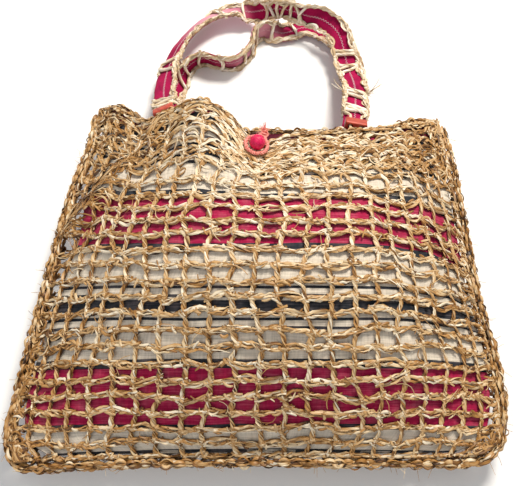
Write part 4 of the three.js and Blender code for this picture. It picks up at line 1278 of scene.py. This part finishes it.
def lay_edge_cords(bundle, handle, route):
    """Twisted raffia cords along both edges of a strap. At a beaded foot they run through the bead's holes,
    and along the front handle's left leg and arch the outer cord has slipped behind the strap."""
    lengths = np.linspace(route["mouth_left"] + 2, route["mouth_right"] - 2, CORD_SECTIONS)
    from_left = lengths - route["mouth_left"]
    from_foot = np.minimum(from_left, route["mouth_right"] - lengths)
    beaded = 1.0 if handle["beaded"] else 0.0
    gather = beaded * (1 - smoothstep(from_foot, FOOT_GATHER, FOOT_LONG))
    slipped = 0.0
    for low, high in SLIPPED_CORD:
        begun = smoothstep(from_left, low, low + SLIP_OVER)
        slipped = slipped + beaded * begun * (1 - smoothstep(from_left, high - SLIP_OVER, high))
    slack = lerp(CORD_SLACK, CORD_IN_BEAD, gather)
    for edge in (-1, 1):
        behind = slipped if edge < 0 else 0.0
        half = lerp(STRAP_WIDE / 2 - CORD_INSET - SLIP_IN * behind, BEAD_HOLE_APART / 2, gather)
        rise = lerp(STRAP_THICK / 2 + CORD_RISE - SLIP_DOWN * behind, BEAD_RISE, gather)
        for strip in range(CORD_STRIPS):
            angle = 2 * np.pi * (lengths / CORD_LAY + strip / CORD_STRIPS) + edge
            lumps = 1 + 0.4 * (1 - gather) * np.sin(lengths / 1.3 + 0.6 * np.sin(lengths / 9) + edge)
            radius = slack * rng.uniform(0.7, 1.15) * lumps
            across = edge * half + radius * np.cos(angle) + 0.6 * (1 - gather) * np.sin(lengths / 5.3 + edge)
            path, face = strap_place(route, lengths, across, rise + radius * 0.9 * np.sin(angle))
            wide = rng.uniform(1.5, 2.5) * (1 + 0.25 * np.sin(lengths / 5 + strip))
            # the last term is painted light on the top of the twist and painted shade under it
            lightness = rng.normal(0.52, 0.12) + 0.1 * np.sin(lengths / 17 + 2 * strip) + 0.22 * np.sin(angle)
            bundle.add(path[None], face[None], wide, lightness, 1.2 * np.sin(lengths / 7 + strip)[None])


def lay_edge_loops(bundle, handle, route):
    """Uneven loops of raffia round both edge cords, outwards and over the strap's face."""
    for edge in (-1, 1):
        start = SLIPPED_CORD[-1][1] if handle["beaded"] and edge < 0 else FOOT_LONG
        ends = route["mouth_left"] + start, route["mouth_right"] - FOOT_LONG
        lengths = np.linspace(*ends, EDGE_LOOP_POINTS)
        across = edge * (STRAP_WIDE / 2 - CORD_INSET)
        path, face = strap_place(route, lengths, across, STRAP_THICK / 2 + EDGE_LOOP_LIFT)
        side = edge * strap_frame(route, lengths)[2]
        spots = lengths_along(path)
        lay_picots(bundle, (spots, path, side, face), **OUTER_LOOPS)
        lay_picots(bundle, (spots, path, -side, face), **INNER_LOOPS)


def lay_rungs(bundle, handle, route):
    """Wrapped strips that cross a strap's face at uneven places and hook round its edge cords."""
    places = [route["mouth_left"] + spot for spot in handle["rungs_left"]]
    places += [route["mouth_right"] - spot for spot in handle["rungs_right"]]
    places = np.array(places)[:, None]
    count = len(places)
    share = np.linspace(-1, 1, 9)
    over = np.sqrt(np.maximum(1 - share**8, 0))
    lean = around(0, 4.0, count)
    bend = around(0, 2.6, count)
    phase = between(0, 2 * np.pi, count)
    for strip in range(RUNG_STRIPS):
        angle = phase + 2 * np.pi * strip / RUNG_STRIPS + 3.2 * share
        spread = between(0.9, 1.6, count)
        begin = places + lean * share + bend * (1 - share**2) + spread * np.cos(angle)
        across = (STRAP_WIDE / 2 + between(0.6, 1.6, count)) * share
        above = -0.8 + (STRAP_THICK / 2 + 2.2) * over + 0.8 * spread * (1 + np.sin(angle)) * over
        path, face = strap_place(route, begin, across, above)
        # painted light where the strip rides high, and painted shade where it lies low
        lightness = around(0.6, 0.16, count) + 0.25 * np.sin(angle)
        bundle.add(path, face, between(1.6, 2.7, count), lightness, 0.9 * np.cos(angle))


def make_cover(name, handle, route):
    """Raffia worked over a strap, with a frayed knot on the beaded one."""
    bundle = Strands()
    lay_edge_cords(bundle, handle, route)
    lay_edge_loops(bundle, handle, route)
    lay_rungs(bundle, handle, route)
    if handle["beaded"]:
        spot = np.array([route["mouth_right"] - FRAYED_KNOT])
        for across, ends in FRAYED_ENDS:
            knot, _ = strap_place(route, spot, across, FRAYED_LIFT)
            lay_fibres(bundle, knot, **ends)
    return bundle.piece(name, RAFFIA_HANDLE)


def added(operator, name, **settings):
    """Object that an operator adds."""
    bpy.ops.object.select_all(action="DESELECT")
    operator(**settings)
    piece = bpy.context.object
    piece.name = piece.data.name = name
    return piece


def dress(piece, material, smooth_angle):
    """Gives an active object its material and smooth faces."""
    piece.data.materials.clear()
    piece.data.materials.append(material)
    bpy.ops.object.shade_smooth_by_angle(angle=math.radians(smooth_angle))
    return piece


def make_bead(name, route, length):
    """Block of painted wood with rounded edges and two drilled holes for the raffia."""
    point, along, side, face = strap_frame(route, np.array(length))
    bead = added(bpy.ops.mesh.primitive_cube_add, name, size=1.0)
    bpy.ops.object.mode_set(mode="EDIT")
    bpy.ops.mesh.select_all(action="SELECT")
    bpy.ops.transform.resize(value=(BEAD_WIDE * METRE, BEAD_THICK * METRE, BEAD_LONG * METRE))
    bpy.ops.mesh.bevel(offset=BEAD_ROUND * METRE, segments=4, affect="EDGES")
    bpy.ops.object.mode_set(mode="OBJECT")
    for at in (-1, 1):
        drill = added(
            bpy.ops.mesh.primitive_cylinder_add, "drill", vertices=28, radius=BEAD_HOLE_RADIUS * METRE,
            depth=2 * BEAD_LONG * METRE, location=(at * BEAD_HOLE_APART / 2 * METRE, 0, 0),
        )
        bpy.ops.object.select_all(action="DESELECT")
        bead.select_set(True)
        bpy.context.view_layer.objects.active = bead
        cut = bead.modifiers.new("hole", "BOOLEAN")
        cut.object = drill
        cut.operation = "DIFFERENCE"
        bpy.ops.object.modifier_apply(modifier=cut.name)
        bpy.data.objects.remove(drill)
    centre = (point + face * BEAD_RISE - SEAM_TO_MIDDLE) * METRE
    basis = Matrix.Identity(4)
    for axis, direction in enumerate((side, face, -along)):
        basis.col[axis].xyz = direction
    basis.translation = centre
    bead.data.transform(basis)
    return dress(bead, PAINTED_WOOD, smooth_angle=35)


# Ball and loop

def ball_seat():
    """Function that gives places about the ball: to the right, towards the mouth, and above the top row."""
    up = np.array(BALL_UP_PANEL)
    left, right = front_middle(np.array(-BALL_STEM), up), front_middle(np.array(BALL_STEM), up)
    across = unit(right - left)
    out = panel_normal("front", np.array(-BALL_STEM), up) + panel_normal("front", np.array(BALL_STEM), up)
    forward = unit(np.cross(out, across))
    out = np.cross(across, forward)
    middle = (left + right) / 2 + across * BALL_RIGHT

    def place(x, towards_mouth, above):
        x, towards_mouth, above = np.broadcast_arrays(x, towards_mouth, above)
        lifted = NET_THICK / 2 + above
        return middle + across * x[..., None] + forward * towards_mouth[..., None] + out * lifted[..., None]

    return place


def make_ball():
    """Ball of felted yarn, a little lumpy from its winding."""
    centre = ball_seat()(0.0, 0.0, SEAT_CLEAR + BALL_RADIUS)
    grid = dict(segments=BALL_SEGMENTS, ring_count=BALL_RINGS)
    ball = added(bpy.ops.mesh.primitive_uv_sphere_add, "yarn_ball", radius=1.0, **grid)
    co = np.empty(len(ball.data.vertices) * 3)
    ball.data.vertices.foreach_get("co", co)
    co = co.reshape(-1, 3)
    lumps = 0.10 * np.sin(9 * co[:, 0] + 5 * co[:, 2]) + 0.10 * np.sin(11 * co[:, 1] - 6 * co[:, 2] + 1)
    winding = 0.05 * np.sin(26 * (co[:, 0] * 0.6 + co[:, 1] * 0.5 + co[:, 2] * 0.6))
    co = centre - SEAM_TO_MIDDLE + co * (BALL_RADIUS - 0.25 + lumps + winding)[:, None]
    ball.data.vertices.foreach_set("co", (co * METRE).ravel())
    return dress(ball, BALL_FELT, smooth_angle=60)


def lay_yarn(bundle, points, facing, slack, wide):
    """Twisted yarns along a smoothed path through the points."""
    steps = np.linspace(0, len(points) - 1, 12 * len(points))
    path = smoothed(at_spots(points, np.arange(len(points)), steps), 6)
    facing = np.broadcast_to(facing, path.shape)
    along = unit(np.gradient(path, axis=0))
    side = unit(np.cross(along, facing))
    length = lengths_along(path)
    for strand in range(YARNS):
        angle = (2 * np.pi * (length / YARN_LAY + strand / YARNS))[:, None]
        laid = path + slack * (side * np.cos(angle) + np.cross(along, side) * np.sin(angle))
        bundle.add(laid[None], facing[None], wide, 0.5, thick=wide)


def make_loop():
    """Salmon cord from the back edge to a knot with a frayed tuft, and a loop from there round the ball."""
    seat = ball_seat()
    low = LOOP_CLEAR + LOOP_RADIUS
    above = unit(seat(0, 0, 1) - seat(0, 0, 0))
    yarn = Strands(6)
    angles = np.pi * np.linspace(LOOP_OPENING, -1 - LOOP_OPENING, 14)
    lift = low + LOOP_RISE * (1 + np.sin(angles)) / 2
    uneven = LOOP_ROUND + rng.normal(-0.3, 0.5, angles.shape)
    ring = seat(uneven * np.cos(angles), uneven * np.sin(angles), lift)
    knot = seat(KNOT_RIGHT, KNOT_FROM_BALL, low + KNOT_UP)
    bend = KNOT_FROM_BALL * LEG_BEND
    legs = [seat(KNOT_RIGHT / 2 + side * LEG_APART, bend, low + LOOP_RISE) for side in (1, -1)]
    lay_yarn(yarn, np.array([knot, legs[0], *ring, legs[1], knot]), above, **LOOP_YARN)
    on_lining = -(NET_THICK / 2 + LINING_CLEAR + CAD_LINING_THICK + SEAT_CLEAR + LOOP_RADIUS)
    tail = [panel_point("back", 0.0, row["t"], on_lining - row["off"]) for row in TAIL]
    lay_yarn(yarn, np.array([knot, *tail]), above, **TAIL_YARN)
    # Turns of the knot
    share = np.linspace(0, 2 * np.pi, 16)
    for _ in range(KNOT_TURNS):
        radius = rng.uniform(2.2, 3.2)
        lean = rng.normal(0, 0.7)
        circle = seat(
            KNOT_RIGHT + radius * np.cos(share),
            KNOT_FROM_BALL + radius * np.sin(share) * math.cos(lean),
            low + KNOT_UP + radius * np.sin(share) * math.sin(lean),
        )
        yarn.add(circle[None], np.broadcast_to(above, circle.shape)[None], 1.6, 0.5, thick=1.5)
    lay_fibres(yarn, knot[None], **KNOT_TUFT)
    lay_fibres(yarn, ring, **LOOP_FUZZ)
    return yarn.piece("salmon_loop", SALMON_YARN)


# Making of the pieces

def finish_piece(piece, slot, *nodes):
    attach(piece, "root")
    if nodes:
        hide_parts(*nodes)
    return piece


front_rows, front_stems, front_stitches = make_front_net()
finish_piece(front_rows.piece("net_front_rows", RAFFIA_NET), "raffia", "net_front")
finish_piece(front_stems.piece("net_front_stems", RAFFIA_NET), "raffia")
finish_piece(front_stitches.piece("net_front_stitches", RAFFIA_NET), "raffia")
back_rows, back_stems = make_back_net()
finish_piece(back_rows.piece("net_back_rows", RAFFIA_NET), "raffia", "net_back")
finish_piece(back_stems.piece("net_back_stems", RAFFIA_NET), "raffia")
finish_piece(make_seam(), "raffia", "net_seam")
lining = finish_piece(make_lining(), "lining_cloth", "lining")

routes = {}
for side, handle in (("front", FRONT_HANDLE), ("back", BACK_HANDLE)):
    route = routes[side] = handle_route(handle)
    finish_piece(make_strap(f"strap_{side}", route), "crimson_cloth", f"handle_{side}_strap")
    finish_piece(make_stitches(f"strap_{side}_stitches", route), "crimson_cloth")
    finish_piece(make_cover(f"strap_{side}_raffia", handle, route), "raffia", f"handle_{side}_cover")
bead_spots = dict(
    left=routes["front"]["mouth_left"] + BEAD_FROM_MOUTH,
    right=routes["front"]["mouth_right"] - BEAD_FROM_MOUTH,
)
for side, spot in bead_spots.items():
    bead = make_bead(f"wood_bead_{side}", routes["front"], spot)
    finish_piece(bead, "terracotta_wood", f"bead_front_{side}")
finish_piece(make_ball(), "crimson_yarn", "button_ball")
finish_piece(make_loop(), "salmon_cord", "button_loop")


# Stage

def studio_floor():
    floor = added(bpy.ops.mesh.primitive_plane_add, "studio_floor", size=FLOOR_WIDE, location=(0, 0, 0))
    paper = Look("white_paper").surface({"Base Color": linear(PAPER_WHITE), "Roughness": 0.9})
    floor.data.materials.append(paper)


def soft_light(name, place, aim, size, energy, colour):
    light = bpy.data.lights.new(name, "AREA")
    light.shape = "DISK"
    light.size = size
    light.energy = energy
    light.color = linear(colour)[:3]
    lamp = bpy.data.objects.new(name, light)
    away = np.asarray(place, float) - np.asarray(aim, float)
    tilt = math.atan2(math.hypot(away[0], away[1]), away[2])
    lamp.location = place
    lamp.rotation_euler = (tilt, 0, math.atan2(away[0], -away[1]))
    bpy.context.scene.collection.objects.link(lamp)


def photo_camera():
    lens = bpy.data.cameras.new("photo_camera")
    lens.sensor_fit = "HORIZONTAL"
    lens.sensor_width = SENSOR_WIDE
    lens.lens = FOCAL_PIXELS * SENSOR_WIDE / PHOTO_WIDE
    camera = bpy.data.objects.new("photo_camera", lens)
    camera.location = (CAMERA_PLACE - SEAM_TO_MIDDLE) * METRE
    camera.rotation_euler = (math.radians(90 - CAMERA_DOWN), 0, 0)
    bpy.context.scene.collection.objects.link(camera)
    bpy.context.scene.camera = camera


studio_floor()
for light_name, settings in LIGHTS.items():
    soft_light(light_name, **settings)
world = bpy.data.worlds.new("studio")
world.use_nodes = True
sky = world.node_tree.nodes["Background"]
sky.inputs["Color"].default_value = linear(SKY_WHITE)
sky.inputs["Strength"].default_value = SKY_STRENGTH
bpy.context.scene.world = world
bpy.context.scene.view_settings.view_transform = "Standard"
photo_camera()
